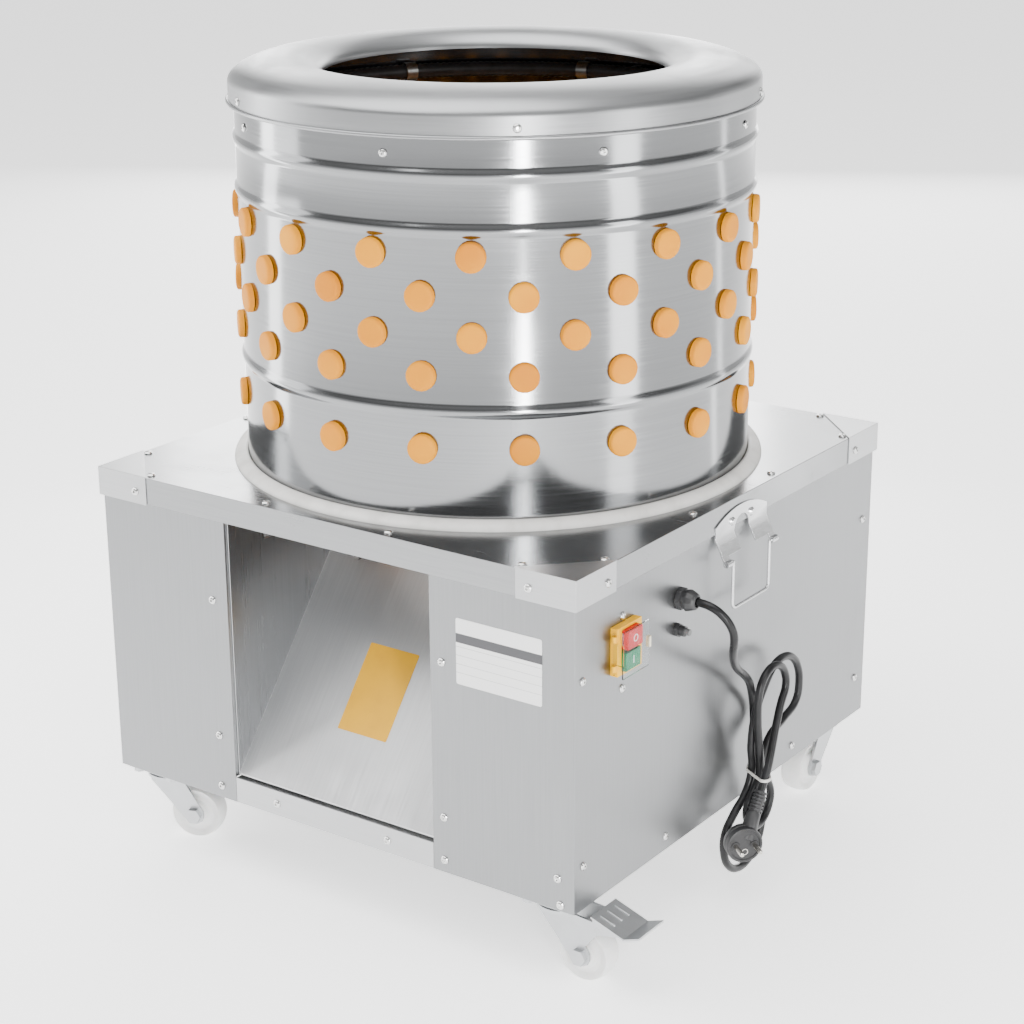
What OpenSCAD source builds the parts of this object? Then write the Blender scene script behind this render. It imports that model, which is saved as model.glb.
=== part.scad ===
/* [Cabinet] */
// Width of the cabinet across its side panels
body_w = 564; // [550:2:620]
// Depth of the cabinet from front panel to rear panel
body_d = 560; // [550:2:620]
// Height from the castor plates to the top of the lid
cabinet_h = 323; // [315:1:360]
// Thickness of the cabinet's sheet panels
sheet_t = 1.2; // [0.8:0.1:2]
// Thickness of the lid sheet
lid_t = 1.5; // [1:0.1:2.5]
// Height of the lid's turned-down edge
lid_flange = 27; // [22:1:30]
// How far the lid stands out past the panels
lid_overhang = 2; // [1.8:0.1:4]
// Leg length of the corner caps on the lid
cap_leg = 64; // [45:1:66]
// Width of the chute opening in the front
chute_w = 247; // [220:1:260]
// Height of the sill strip under the chute
sill_h = 27; // [27:1:36]
// Depth of the folded edge of the front panels
fold_w = 14; // [8:1:20]
// Leg of the frame's angle bars
frame_bar = 23; // [18:1:24]
// Thickness of the frame's angle bars
frame_t = 3; // [2:0.5:4]
// Leg of the corner posts
post_w = 30; // [25:1:40]
/* [Drum] */
// Outside diameter of the drum
drum_d = 504; // [490:2:506]
// Thickness of the drum sheet
drum_wall = 1.5; // [1:0.1:2.5]
// Height of the drum above the lid
drum_h = 372; // [368:1:390]
// How far the drum sheet reaches below the lid top
drum_drop = 14; // [8:1:18]
// How far the rolled beads stand out
bead_out = 2.5; // [1:0.5:4]
// Height of one rolled bead
bead_h = 13; // [8:1:15]
// Centre of the low bead above the lid
bead_low = 109; // [103:1:114]
// Centre of the middle bead above the lid
bead_mid = 274; // [272:1:280]
// Centre of the high bead above the lid
bead_high = 322.5; // [312:0.5:328]
// Width of the rubber ring round the drum's foot
foot_ring_w = 14; // [8:1:18]
// Height of the rubber ring round the drum's foot
foot_ring_h = 8; // [5:1:12]
// Depth of the pan floor below the lid top
pan_depth = 58; // [56:1:62]
/* [Collar] */
// Height of the collar's rolled lip above the lid
collar_z = 356.5; // [350:0.5:360]
// Outside diameter of the collar's skirt
collar_d = 514; // [510:1:520]
// Height of the collar's skirt
skirt_h = 17.5; // [15:0.5:20]
// Height of the collar's dome above its skirt
dome_h = 21; // [16:1:28]
// Diameter of the mouth in the collar
mouth_d = 334; // [320:2:360]
// Diameter at the crest of the dome
crest_d = 400; // [385:5:420]
// How far the inner edge drops below the crest
mouth_drop = 18; // [12:1:24]
// Thickness of the collar sheet
collar_t = 1.5; // [1:0.1:2]
/* [Fingers] */
// Fingers in each row of the drum wall
wall_count = 17; // [12:1:18]
// Height of the top row of wall fingers above the lid
row_top = 251; // [249:0.5:252]
// Spacing of the four upper rows
row_pitch = 36.5; // [33:0.5:37]
// Height of the low row of wall fingers
row_low = 73; // [71:0.5:78]
// Diameter of a finger's head
head_d = 28; // [24:1:28]
// Thickness of a finger's head
head_t = 6; // [4:0.5:7]
// Diameter of a finger's neck
neck_d = 18.6; // [15:0.2:20]
// Length of a wall finger inside the drum
wall_finger_l = 92; // [80:1:95]
// Length of a plate finger above the feather plate
plate_finger_l = 78; // [60:1:80]
/* [Feather plate] */
// Diameter of the feather plate
plate_d = 476; // [460:2:480]
// Thickness of the feather plate
plate_t = 3; // [2:0.5:4]
// Depth of the plate's top below the lid top
plate_drop = 25; // [22:1:28]
// Height of the sweeper blades
sweeper_h = 26; // [20:1:26]
// Thickness of the sweeper blades
sweeper_t = 6; // [4:1:8]
/* [Drive] */
// Diameter of the main shaft
shaft_d = 25; // [20:1:28]
// Outside diameter of the shaft bearings
bearing_d = 52; // [47:1:56]
// Width of a shaft bearing
bearing_w = 15; // [12:1:16]
// Outside diameter of the large pulley
big_pulley_d = 180; // [170:2:190]
// Outside diameter of the small pulley
small_pulley_d = 60; // [54:2:66]
// Width of the pulleys
pulley_w = 22; // [18:1:22]
// Distance from the main shaft to the motor shaft
belt_centre = 165; // [155:1:170]
// Diameter of the motor's barrel
motor_d = 116; // [100:2:126]
// Length of the motor's barrel
motor_l = 101; // [90:1:106]
// Diameter of the motor shaft
motor_shaft_d = 19; // [14:1:20]
/* [Castors] */
// Height from the floor to the cabinet
castor_h = 80; // [76:1:90]
// Distance of each swivel axis from the panels
castor_inset = 36; // [34:1:44]
// Diameter of a castor wheel
wheel_d = 56; // [50:1:60]
// Width of a castor wheel
wheel_w = 22; // [18:1:24]
// Trail of a castor wheel behind its swivel axis
trail = 30; // [26:1:34]
// Side of a castor's square plate
castor_plate = 60; // [56:1:64]
// Length of a brake pedal past its castor
pedal_l = 52; // [40:1:60]
/* [Controls] */
// Width of the switch frame
switch_w = 40; // [36:1:46]
// Height of the switch frame
switch_h = 46; // [44:1:52]
// Depth of the switch frame in front of the panel
switch_depth = 8; // [6:0.5:12]
// Travel of the push buttons
button_travel = 2.5; // [1.5:0.5:3]
// Diameter of the cable gland
gland_d = 22; // [18:1:24]
// Diameter of the mains cord
cord_d = 8; // [7:0.1:8]
/* [Handles] */
// Width of a handle plate
handle_w = 96; // [90:1:110]
// Thickness of the handle sheet
handle_t = 1.5; // [1:0.1:2]
// Diameter of the bail wire
wire_d = 3; // [2.5:0.1:4]
// Drop of the bail below its pivots
bail_drop = 48; // [40:1:60]
/* [Fasteners] */
// Diameter of a screw head
screw_d = 8; // [6:0.5:9]
// Height of a screw head
screw_h = 2.4; // [1.5:0.1:3]
/* [Hidden] */
$fn = 64;
// Clearances: between still pieces, round a running shaft, and between moving faces
fit = 0.3;
run = 0.06;
play = 0.4;
eps = 1;
// Main levels, with z = 0 on the floor and the drum's axis on x = y = 0
lid_z = castor_h + cabinet_h;
under_lid = lid_z - lid_t;
half_w = body_w / 2;
half_d = body_d / 2;
frame_x = half_w - sheet_t;
frame_y = half_d - sheet_t;
lid_x = half_w + lid_overhang;
lid_y = half_d + lid_overhang;
cap_t = 1.2;
cap_h = lid_flange + cap_t;
fold_low = castor_h + max(sill_h, frame_bar) + fit;
fold_high = under_lid - frame_bar - fit;
// Chute plate, from the sill up to the front edge of the pan's outlet
chute_y0 = -(half_d - sheet_t - frame_t - fit);
chute_z0 = castor_h + sill_h + 4;
chute_y1 = -93;
chute_z1 = lid_z - pan_depth - lid_t - fit;
chute_half = chute_w / 2 - fit;
chute_rise = (chute_z1 - chute_z0) / (chute_y1 - chute_y0);
chute_lip = sheet_t * sqrt(1 + chute_rise * chute_rise);
// Drum and pan
drum_r = drum_d / 2;
drum_in = drum_r - drum_wall;
pan_in = drum_r + fit;
pan_r = pan_in + lid_t;
pan_top = lid_z - pan_depth;
outlet_half = chute_w / 2 + fit;
row_phase = 30.67;
row_heights = [row_top, row_top - row_pitch, row_top - 2 * row_pitch, row_top - 3 * row_pitch, row_low];
row_shift = [0, 0.5, 0, 0.5, 0.5];
seat = 0.05;
// Collar, its screws, the spray ring and its clips
collar_r = collar_d / 2;
lip_r = 2;
collar_low = lid_z + collar_z;
dome_z = collar_low + skirt_h;
collar_screw_count = 5;
collar_screw_phase = 40;
collar_screw_z = collar_low + 8.5;
clip_count = 8;
clip_phase = 12.8;
clip_t = 1.5;
clip_w = 12;
pipe_r = 8;
pipe_bore = 6.5;
pipe_z = lid_z + drum_h - 26.5;
pipe_ring_r = drum_in - clip_t - fit - pipe_r;
rivet_z = pipe_z - 5;
rivet_r = 1.6;
hose_r = 7;
hose_end = drum_r + 22;
hose_stop = drum_r + 4;
// Feather plate and its fingers
plate_top = lid_z - plate_drop;
plate_low = plate_top - plate_t;
finger_rings = [[80, 6, 0], [140, 12, 15], [200, 18, 0]];
sweeper_angles = [30, 150, 270];
// Drive line, hung on the frame's cross beams
beam_h = 30;
beam_w = 30;
beam_top = lid_z - 130;
beam_y = 52;
rear_beam_y = belt_centre + 70;
rail_w = 30;
housing_plate = 130;
housing_r = bearing_d / 2 + 8;
housing_low = beam_top - 60;
bearing_z = [beam_top + 2 - bearing_w, housing_low + 2];
pulley_z = beam_top + 12;
belt_z = pulley_z + pulley_w / 2;
belt_top = 5.5;
belt_foot = 3.6;
belt_h = 8;
groove_gap = 0.4;
big_belt_r = big_pulley_d / 2 - 2 - belt_h;
small_belt_r = small_pulley_d / 2 - 2 - belt_h;
mount_t = 5;
mount_z = beam_top - beam_h - mount_t;
mount_half = 90;
motor_r = motor_d / 2;
motor_low = mount_z - 8 - motor_l;
bell_r = motor_r + 6;
fan_low = motor_low - 26;
cover_low = motor_low - 34;
motor_bore = motor_shaft_d / 2 + run;
fin_out = 5;
fin_t = 3;
box_x = (motor_r + fin_out) * cos(15) + fin_t / 2 * sin(15) + fit;
// Places on the right side panel
switch_y = -204;
switch_z = lid_z - 85;
switch_body_w = switch_w - 12;
switch_body_h = switch_h - 6;
switch_body_l = 38;
stop_z = switch_z + switch_h / 4 - 1;
start_z = switch_z - switch_h / 4 + 1;
button_w = switch_w - 16;
button_h = switch_h / 2 - 5;
stop_out = 6;
start_out = 4;
flap_x = half_w + switch_depth + stop_out + 1;
flap_pin_y = switch_y - switch_w / 2 - 2.4;
flap_pin_x = half_w + switch_depth - 2;
gland_y = -107;
gland_z = lid_z - 71;
gland_l = 20;
reset_y = -111;
reset_z = lid_z - 101;
reset_r = 6;
// Handles on the lid's edge
handle_out = 13;
handle_pin_z = lid_z - 54;
handle_pin_x = lid_x + handle_out;
knuckle_r = wire_d / 2 + 1.6;
knuckle_w = 10;
handle_fold_z = lid_z - lid_flange - 5;
bail_half = handle_w / 2 - knuckle_w - 3.5;
// Castors: the plates stand a little further out along the depth
castor_set = 2;
castor_x = half_w - castor_inset;
castor_y = half_d - castor_inset + castor_set;
plate_thick = 3;
race_h = 6;
race_r = 22;
crown_r = 24;
crown_t = 3;
leg_t = 2.5;
leg_in = wheel_w / 2 + 2;
axle_r = 5;
axle_z = wheel_d / 2 - castor_h;
pedal_pin_x = trail + 20;
pedal_pin_z = -18;
pedal_half = 21;
cheek_t = 2;
// Mains cord: the lead from the gland, the hank's loops through its tied waist, then the tail
lead_points = [[302, -107, 332], [306, -107, 332], [313.8, -106.7, 331], [321, -105.8, 328.2],
    [327.2, -104.4, 323.6], [332, -102.5, 317.7], [335, -100.3, 310.8], [336, -98, 303.4],
    [335, -95.7, 296], [331.3, -90.3, 283.9], [327.5, -82.7, 273.3], [323.6, -73.3, 264],
    [319.6, -62.5, 255.6], [315.7, -50.8, 247.8], [311.8, -38.6, 240.2], [307.9, -26.4, 232.6],
    [304.2, -14.6, 224.6], [300.5, -3.6, 215.8], [297, 6, 206], [293, 16.5, 193], [290, 24.5, 181],
    [288.5, 28.5, 170], [289.3, 28, 161], [291.8, 24.5, 152], [295.3, 19.5, 143], [297, 17, 135],
    [297, 17, 127]];
tail_points = [[315.8, 34, 183], [317.5, 24, 168], [319.5, 14.5, 152.5], [321.5, 5.5, 138],
    [322.5, -1.5, 126], [322.5, -7.7, 116.5], [322.5, -13.3, 108.2]];
waist = [297, 11, 119];
waist_half = 6;
run_step = 4.6;
// Loops in order, down and up in turn: reach from the waist, half width and tilt of each
loops = [[-104, 40, 14], [116, 36, 34], [-60, 26, 4], [108, 25, 7]];
loop_rings = 12;
tail_ring = 9;
tie_t = 1;
tie_gap = 0.7;
tie_h = 3;
// Plug: its cable axis leans forward, and its face looks out past the front corner
plug_lean = -34;
plug_turn = -40;
plug_r = 18.5;
plug_reach = 53;
pin_l = 19;
cord_sides = 8;

module ring(outer, inner, h) {
    difference() {
        cylinder(r = outer, h = h);
        translate([0, 0, -eps]) cylinder(r = inner, h = h + 2 * eps);
    }
}
// Inward-open angle ring round the cabinet, its flat leg at the low end
module angle_ring() {
    difference() {
        translate([-frame_x, -frame_y, 0]) cube([2 * frame_x, 2 * frame_y, frame_bar]);
        translate([-frame_x + frame_t, -frame_y + frame_t, frame_t])
            cube([2 * (frame_x - frame_t), 2 * (frame_y - frame_t), frame_bar]);
        translate([-frame_x + frame_bar, -frame_y + frame_bar, -eps])
            cube([2 * (frame_x - frame_bar), 2 * (frame_y - frame_bar), frame_bar]);
    }
}
// Channel bar along X with its open side down
module channel(l, w, h) {
    difference() {
        cube([l, w, h]);
        translate([-eps, frame_t, -eps]) cube([l + 2 * eps, w - 2 * frame_t, h - frame_t + eps]);
    }
}
module frame() color("silver") {
    beam_l = 2 * (frame_x - rail_w);
    translate([0, 0, castor_h]) angle_ring();
    translate([0, 0, under_lid]) mirror([0, 0, 1]) angle_ring();
    for (sx = [-1, 1], sy = [-1, 1]) {
        post_x = sx * frame_x;
        post_y = sy * frame_y;
        translate([min(post_x, post_x - sx * frame_t), min(post_y, post_y - sy * post_w), castor_h])
            cube([frame_t, post_w, under_lid - castor_h]);
        translate([min(post_x, post_x - sx * post_w), min(post_y, post_y - sy * frame_t), castor_h])
            cube([post_w, frame_t, under_lid - castor_h]);
        translate([min(post_x, post_x - sx * 70), min(post_y, post_y - sy * 70), castor_h])
            cube([70, 70, frame_t + 1]);
    }
    for (s = [-1, 1])
        translate([s * (frame_x - rail_w / 2) + rail_w / 2, -frame_y, beam_top - beam_h])
            rotate([0, 0, 90]) channel(2 * frame_y, rail_w, beam_h);
    for (y = [-beam_y, beam_y, rear_beam_y])
        translate([-beam_l / 2, y - beam_w / 2, beam_top - beam_h]) channel(beam_l, beam_w, beam_h);
}
module front_panel() {
    translate([chute_w / 2, -half_d, castor_h]) cube([half_w - chute_w / 2, sheet_t, under_lid - castor_h]);
    translate([chute_w / 2, -half_d, fold_low]) cube([sheet_t, fold_w, fold_high - fold_low]);
}
module front_panel_left() color("lightgray") mirror([1, 0, 0]) front_panel();
module front_panel_right() color("lightgray") front_panel();
module front_sill() color("whitesmoke") {
    translate([-chute_half, -half_d, castor_h]) cube([2 * chute_half, sheet_t, sill_h]);
    translate([-chute_half, -half_d, castor_h + sill_h - sheet_t]) cube([2 * chute_half, fold_w, sheet_t]);
}
module side_panel() {
    translate([frame_x, -frame_y, castor_h]) cube([sheet_t, 2 * frame_y, under_lid - castor_h]);
}
module side_panel_left() color("lightgray") mirror([1, 0, 0]) side_panel();
module side_panel_right() color("lightgray") difference() {
    side_panel();
    translate([frame_x - eps, switch_y - switch_body_w / 2 - fit, switch_z - switch_body_h / 2 - fit])
        cube([sheet_t + 2 * eps, switch_body_w + 2 * fit, switch_body_h + 2 * fit]);
    for (hole = [[gland_y, gland_z, gland_d / 2 - 2 + fit], [reset_y, reset_z, reset_r - 1 + fit]])
        translate([frame_x - eps, hole[0], hole[1]]) rotate([0, 90, 0])
            cylinder(r = hole[2], h = sheet_t + 2 * eps);
}
module rear_panel() color("lightgray")
    translate([-half_w, half_d - sheet_t, castor_h]) cube([body_w, sheet_t, under_lid - castor_h]);
module lid() color("gainsboro") difference() {
    translate([-lid_x, -lid_y, lid_z - lid_flange]) cube([2 * lid_x, 2 * lid_y, lid_flange]);
    translate([-lid_x + lid_t, -lid_y + lid_t, lid_z - lid_flange - eps])
        cube([2 * (lid_x - lid_t), 2 * (lid_y - lid_t), lid_flange - lid_t + eps]);
    translate([0, 0, under_lid - eps]) cylinder(r = pan_in, h = lid_t + 2 * eps);
}
module corner_cap() {
    translate([lid_x + cap_t, -lid_y - cap_t, lid_z]) linear_extrude(cap_t)
        polygon([[0, 0], [0, cap_leg + cap_t], [-cap_leg - cap_t, 0]]);
    translate([lid_x, -lid_y - cap_t, lid_z - cap_h]) cube([cap_t, cap_leg, cap_h]);
    translate([lid_x + cap_t - cap_leg, -lid_y - cap_t, lid_z - cap_h]) cube([cap_leg, cap_t, cap_h]);
}
module corner_caps() color("gainsboro")
    for (mx = [0, 1], my = [0, 1]) mirror([mx, 0, 0]) mirror([0, my, 0]) corner_cap();
// Chute plate with its two side walls, open to the pan's outlet
module chute() color("silver") {
    wall_y = -sqrt(pan_r * pan_r - chute_w * chute_w / 4) - 3;
    rotate([90, 0, 90]) translate([0, 0, -chute_half]) linear_extrude(2 * chute_half)
        polygon([[chute_y0, chute_z0], [chute_y1, chute_z1], [chute_y1, chute_z1 - chute_lip],
            [chute_y0, chute_z0 - chute_lip]]);
    for (x = [-chute_half, chute_half - sheet_t])
        translate([x, 0, 0]) rotate([90, 0, 90]) linear_extrude(sheet_t)
            polygon([[chute_y0, chute_z0 - chute_lip / 2], [chute_y1, chute_z1 - chute_lip / 2],
                [chute_y1, chute_z1], [wall_y, chute_z1], [wall_y, fold_high], [chute_y0, fold_high]]);
}
// Half-round bead of the drum sheet as points of its outline, at an offset from the outside
function bead(z, off) = [for (a = [-90 : 22.5 : 90])
    [drum_r - off + bead_out * cos(a), z + bead_h / 2 * sin(a)]];
function drum_line(off) = concat([[drum_r - off, lid_z - drum_drop]], bead(lid_z + bead_low, off),
    bead(lid_z + bead_mid, off), bead(lid_z + bead_high, off), [[drum_r - off, lid_z + drum_h]]);
function reversed(p) = [for (i = [len(p) - 1 : -1 : 0]) p[i]];
function wall_angle(row, i) = row_phase + (i + row_shift[row]) * 360 / wall_count;
module drum_shell() color("silver") difference() {
    rotate_extrude($fn = 128) polygon(concat(drum_line(0), reversed(drum_line(drum_wall))));
    for (row = [0 : 4], i = [0 : wall_count - 1])
        rotate([0, 0, wall_angle(row, i) - 90]) translate([drum_in - 5, 0, lid_z + row_heights[row]])
            rotate([0, 90, 0]) cylinder(d = neck_d + 2 * fit, h = 12);
    for (i = [0 : collar_screw_count - 1])
        rotate([0, 0, collar_screw_phase + i * 360 / collar_screw_count - 90])
            translate([drum_in - 5, 0, collar_screw_z]) rotate([0, 90, 0])
                cylinder(r = rivet_r + fit, h = 12);
    for (i = [0 : clip_count - 1])
        rotate([0, 0, clip_phase + i * 360 / clip_count - 90])
            translate([drum_in - 5, 0, rivet_z]) rotate([0, 90, 0]) cylinder(r = rivet_r + fit, h = 12);
    translate([0, drum_in - 5, pipe_z]) rotate([-90, 0, 0]) cylinder(r = hose_r + fit, h = 12);
}
module drum_pan() color("silver") difference() {
    union() {
        translate([0, 0, pan_top - lid_t]) ring(pan_r, shaft_d / 2 + 4, lid_t);
        translate([0, 0, pan_top - lid_t]) ring(pan_r, pan_in, under_lid - pan_top + lid_t);
    }
    translate([-outlet_half, -pan_r - eps, pan_top - lid_t - eps])
        cube([2 * outlet_half, pan_r + chute_y1 + eps, pan_depth + 2 * lid_t]);
}
module drum_foot_ring() color("whitesmoke") translate([0, 0, lid_z]) rotate_extrude($fn = 128)
    intersection() {
        translate([pan_in, 0]) square([foot_ring_w, foot_ring_h]);
        translate([pan_in, foot_ring_h - foot_ring_w]) circle(r = foot_ring_w);
    }
// Outline of the collar sheet: skirt, dome and rolled-in mouth, at an offset from the outside
function arc_points(cx, cz, rx, rz, a0, a1) = [for (i = [0 : 12]) let (a = a0 + (a1 - a0) * i / 12)
    [cx + rx * cos(a), cz + rz * sin(a)]];
function collar_line(off) = concat([[collar_r - off, collar_low]],
    arc_points(crest_d / 2, dome_z, collar_r - crest_d / 2 - off, dome_h - off, 0, 90),
    arc_points(crest_d / 2, dome_z + dome_h - mouth_drop,
        crest_d / 2 - mouth_d / 2 - off, mouth_drop - off, 95, 180));
module collar() color("gainsboro") difference() {
    union() {
        rotate_extrude($fn = 128) polygon(concat(collar_line(0), reversed(collar_line(collar_t))));
        rotate_extrude($fn = 128) translate([collar_r + lip_r - collar_t, collar_low])
            circle(r = lip_r, $fn = 24);
    }
    for (i = [0 : collar_screw_count - 1])
        rotate([0, 0, collar_screw_phase + i * 360 / collar_screw_count - 90])
            translate([collar_r - 8, 0, collar_screw_z]) rotate([0, 90, 0])
                cylinder(r = rivet_r + fit, h = 12);
}
// Spray pipe under the collar, with its hose tail through the drum's rear
module spray_ring() color("dimgray") difference() {
    union() {
        translate([0, 0, pipe_z]) rotate_extrude($fn = 96)
            translate([pipe_ring_r, 0]) circle(r = pipe_r, $fn = 32);
        translate([0, pipe_ring_r, pipe_z]) rotate([-90, 0, 0])
            cylinder(r = hose_r, h = hose_end - pipe_ring_r);
        translate([0, drum_r + fit, pipe_z]) rotate([-90, 0, 0])
            cylinder(r = hose_r + 3, h = hose_stop - drum_r - fit);
    }
    translate([0, 0, pipe_z]) rotate_extrude($fn = 96)
        translate([pipe_ring_r, 0]) circle(r = pipe_bore, $fn = 32);
    translate([0, pipe_ring_r, pipe_z]) rotate([-90, 0, 0]) cylinder(r = hose_r - 2, h = 60);
}
module spray_clips() color("dimgray")
    for (i = [0 : clip_count - 1]) rotate([0, 0, clip_phase + i * 360 / clip_count - 90]) {
        translate([drum_in - fit - clip_t + 0.1, -clip_w / 2, rivet_z - 6])
            cube([clip_t - 0.1, clip_w, pipe_z - rivet_z + 6]);
        translate([pipe_ring_r, clip_w / 2, pipe_z])
            rotate([90, 0, 0]) ring(pipe_r + clip_t, pipe_r + fit, clip_w);
    }
// Rubber finger along +X from the face that its head rests on, through a sheet of thickness t
module finger(t, l, rings) {
    foot = t + 2 * seat;
    tip = foot + l;
    rotate([0, 90, 0]) rotate_extrude($fn = 32)
        polygon(concat([[0, -head_t], [head_d / 2 - 1.5, -head_t], [head_d / 2, -head_t + 1.5],
            [head_d / 2, 0], [neck_d / 2, 0], [neck_d / 2, foot], [neck_d / 2 + 4, foot],
            [neck_d / 2 + 4, foot + 2], [neck_d / 2 + 0.5, foot + 6]],
            [for (i = [0 : rings - 1], k = [0, 1]) let (z = foot + 12 + i * (l - 26) / rings)
                [neck_d / 2 + 0.5 - 3 * i / rings - k * 1.6, z + k * 1.5]],
            [[neck_d / 2 - 3.4, tip - 8], [neck_d / 2 - 5.4, tip - 2], [neck_d / 2 - 8, tip], [0, tip]]));
}
module wall_fingers() color("sandybrown")
    for (row = [0 : 4], i = [0 : wall_count - 1])
        rotate([0, 0, wall_angle(row, i) + 90]) translate([-drum_r - seat, 0, lid_z + row_heights[row]])
            finger(drum_wall + 0.4, wall_finger_l, 3);
module feather_plate() color("silver") difference() {
    translate([0, 0, plate_low]) cylinder(d = plate_d, h = plate_t, $fn = 128);
    translate([0, 0, plate_low - eps]) cylinder(d = shaft_d + 2 * run, h = plate_t + 2 * eps);
    for (r = finger_rings, i = [0 : r[1] - 1])
        rotate([0, 0, r[2] + i * 360 / r[1]]) translate([r[0], 0, plate_low - eps])
            cylinder(d = neck_d + 2 * fit, h = plate_t + 2 * eps);
}
module plate_fingers() color("sandybrown")
    for (r = finger_rings, i = [0 : r[1] - 1])
        rotate([0, 0, r[2] + i * 360 / r[1]]) translate([r[0], 0, plate_low - seat]) rotate([0, -90, 0])
            finger(plate_t, plate_finger_l, 3);
module sweeper_blades() color("dimgray")
    for (a = sweeper_angles) rotate([0, 0, a]) translate([46, -sweeper_t / 2, plate_low - sweeper_h])
        cube([plate_d / 2 - 52, sweeper_t, sweeper_h]);
module main_shaft() color("gray") {
    translate([0, 0, housing_low - 2])
        cylinder(d = shaft_d, h = plate_low - housing_low + 2 + plate_t + 14);
    translate([0, 0, plate_low - 8]) cylinder(r = 34, h = 8);
    translate([0, 0, plate_top]) cylinder(r = shaft_d / 2 + 8, h = 10, $fn = 6);
}
module bearing_housing() color("slategray") difference() {
    union() {
        translate([-housing_plate / 2, -housing_plate / 2, beam_top])
            cube([housing_plate, housing_plate, 5]);
        translate([0, 0, housing_low]) cylinder(r = housing_r, h = beam_top - housing_low + 5);
    }
    translate([0, 0, housing_low - eps]) cylinder(r = bearing_d / 2 - 5, h = 80);
    translate([0, 0, bearing_z[0]]) cylinder(r = bearing_d / 2 + seat, h = 40);
    translate([0, 0, housing_low - eps])
        cylinder(r = bearing_d / 2 + seat, h = bearing_z[1] + bearing_w - housing_low + eps);
    for (sx = [-1, 1], sy = [-1, 1]) translate([sx * beam_y, sy * beam_y, beam_top - eps])
        cylinder(r = 4.5, h = 8);
}
module main_bearings() color("darkgray")
    for (z = bearing_z) translate([0, 0, z]) ring(bearing_d / 2, shaft_d / 2 + run, bearing_w);
// V-grooved pulley from z = 0, with the belt's inner radius and its bore
module pulley(outer, belt_r, bore) {
    slope = (belt_top - belt_foot) / belt_h;
    mid = pulley_w / 2;
    top_gap = belt_foot + slope * (outer - belt_r) + groove_gap;
    foot_gap = belt_foot - slope * 2 + groove_gap;
    rotate_extrude($fn = 96) polygon([[bore, -2], [bore + 9, -2], [bore + 9, 0], [outer, 0],
        [outer, mid - top_gap], [belt_r - 2, mid - foot_gap], [belt_r - 2, mid + foot_gap],
        [outer, mid + top_gap], [outer, pulley_w],
        [bore + 9, pulley_w], [bore + 9, pulley_w + 2], [bore, pulley_w + 2]]);
}
module large_pulley() color("dimgray") difference() {
    translate([0, 0, pulley_z]) pulley(big_pulley_d / 2, big_belt_r, shaft_d / 2 + run);
    for (a = [45 : 90 : 315]) rotate([0, 0, a]) translate([big_pulley_d / 4 + 5, 0, pulley_z - eps])
        cylinder(r = 15, h = 40);
}
module small_pulley() color("dimgray")
    translate([0, belt_centre, pulley_z]) pulley(small_pulley_d / 2, small_belt_r, motor_bore);
// Belt section, inner radius at x = r
module belt_section(r)
    polygon([[r, -belt_foot], [r + belt_h, -belt_top], [r + belt_h, belt_top], [r, belt_foot]]);
module v_belt() color("black") translate([0, 0, belt_z]) {
    lean = asin((big_belt_r - small_belt_r) / belt_centre);
    run_l = belt_centre * cos(lean);
    rotate([0, 0, 180 - lean]) rotate_extrude(angle = 180 + 2 * lean, $fn = 96) belt_section(big_belt_r);
    translate([0, belt_centre, 0]) rotate([0, 0, lean])
        rotate_extrude(angle = 180 - 2 * lean, $fn = 96) belt_section(small_belt_r);
    for (m = [0, 1]) mirror([m, 0, 0]) rotate([0, 0, lean]) rotate([-90, 0, 0])
        linear_extrude(run_l) mirror([0, 1]) belt_section(big_belt_r);
}
module motor_body() color("steelblue") translate([0, belt_centre, 0]) difference() {
    union() {
        translate([0, 0, motor_low]) cylinder(r = motor_r, h = motor_l + 8);
        translate([0, 0, mount_z - 8]) cylinder(r = motor_r + 12, h = 8);
        translate([0, 0, motor_low]) cylinder(r = bell_r, h = 8);
        for (a = [15 : 30 : 345]) rotate([0, 0, a]) translate([motor_r - 2, -fin_t / 2, motor_low + 4])
            cube([2 + fin_out, fin_t, motor_l]);
    }
    translate([0, 0, motor_low - eps]) cylinder(r = motor_bore, h = motor_l + 20);
    for (a = [45 : 90 : 315]) rotate([0, 0, a]) translate([motor_r + 6, 0, mount_z - 9])
        cylinder(r = 3.5, h = 10);
}
module motor_shaft() color("gray")
    translate([0, belt_centre, fan_low]) cylinder(d = motor_shaft_d, h = pulley_z + pulley_w + 2 - fan_low);
module motor_fan() color("dimgray") translate([0, belt_centre, fan_low + 2]) difference() {
    union() {
        cylinder(r = motor_shaft_d / 2 + 5, h = 16);
        cylinder(r = motor_r - 8, h = 2);
        for (a = [0 : 45 : 315]) rotate([0, 0, a]) translate([8, -1, 0]) cube([motor_r - 18, 2, 14]);
    }
    translate([0, 0, -eps]) cylinder(r = motor_bore, h = 20);
}
module motor_fan_cover() color("steelblue") translate([0, belt_centre, 0]) difference() {
    translate([0, 0, cover_low]) cylinder(r = bell_r + seat + 1.2, h = motor_low + 6 - cover_low);
    translate([0, 0, cover_low + 1.2]) cylinder(r = bell_r + seat, h = 60);
    for (r = [18 : 12 : 42], a = [0 : 45 : 315]) rotate([0, 0, a + r]) translate([r, 0, cover_low - eps])
        cylinder(r = 3.5, h = 4);
}
module motor_terminal_box() color("dimgray") translate([box_x, belt_centre, mount_z - 75]) {
    translate([0, -40, 0]) cube([42, 80, 62]);
    translate([42, -42, -2]) cube([4, 84, 66]);
    translate([20, 0, -12]) cylinder(r = 9, h = 12, $fn = 6);
}
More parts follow.
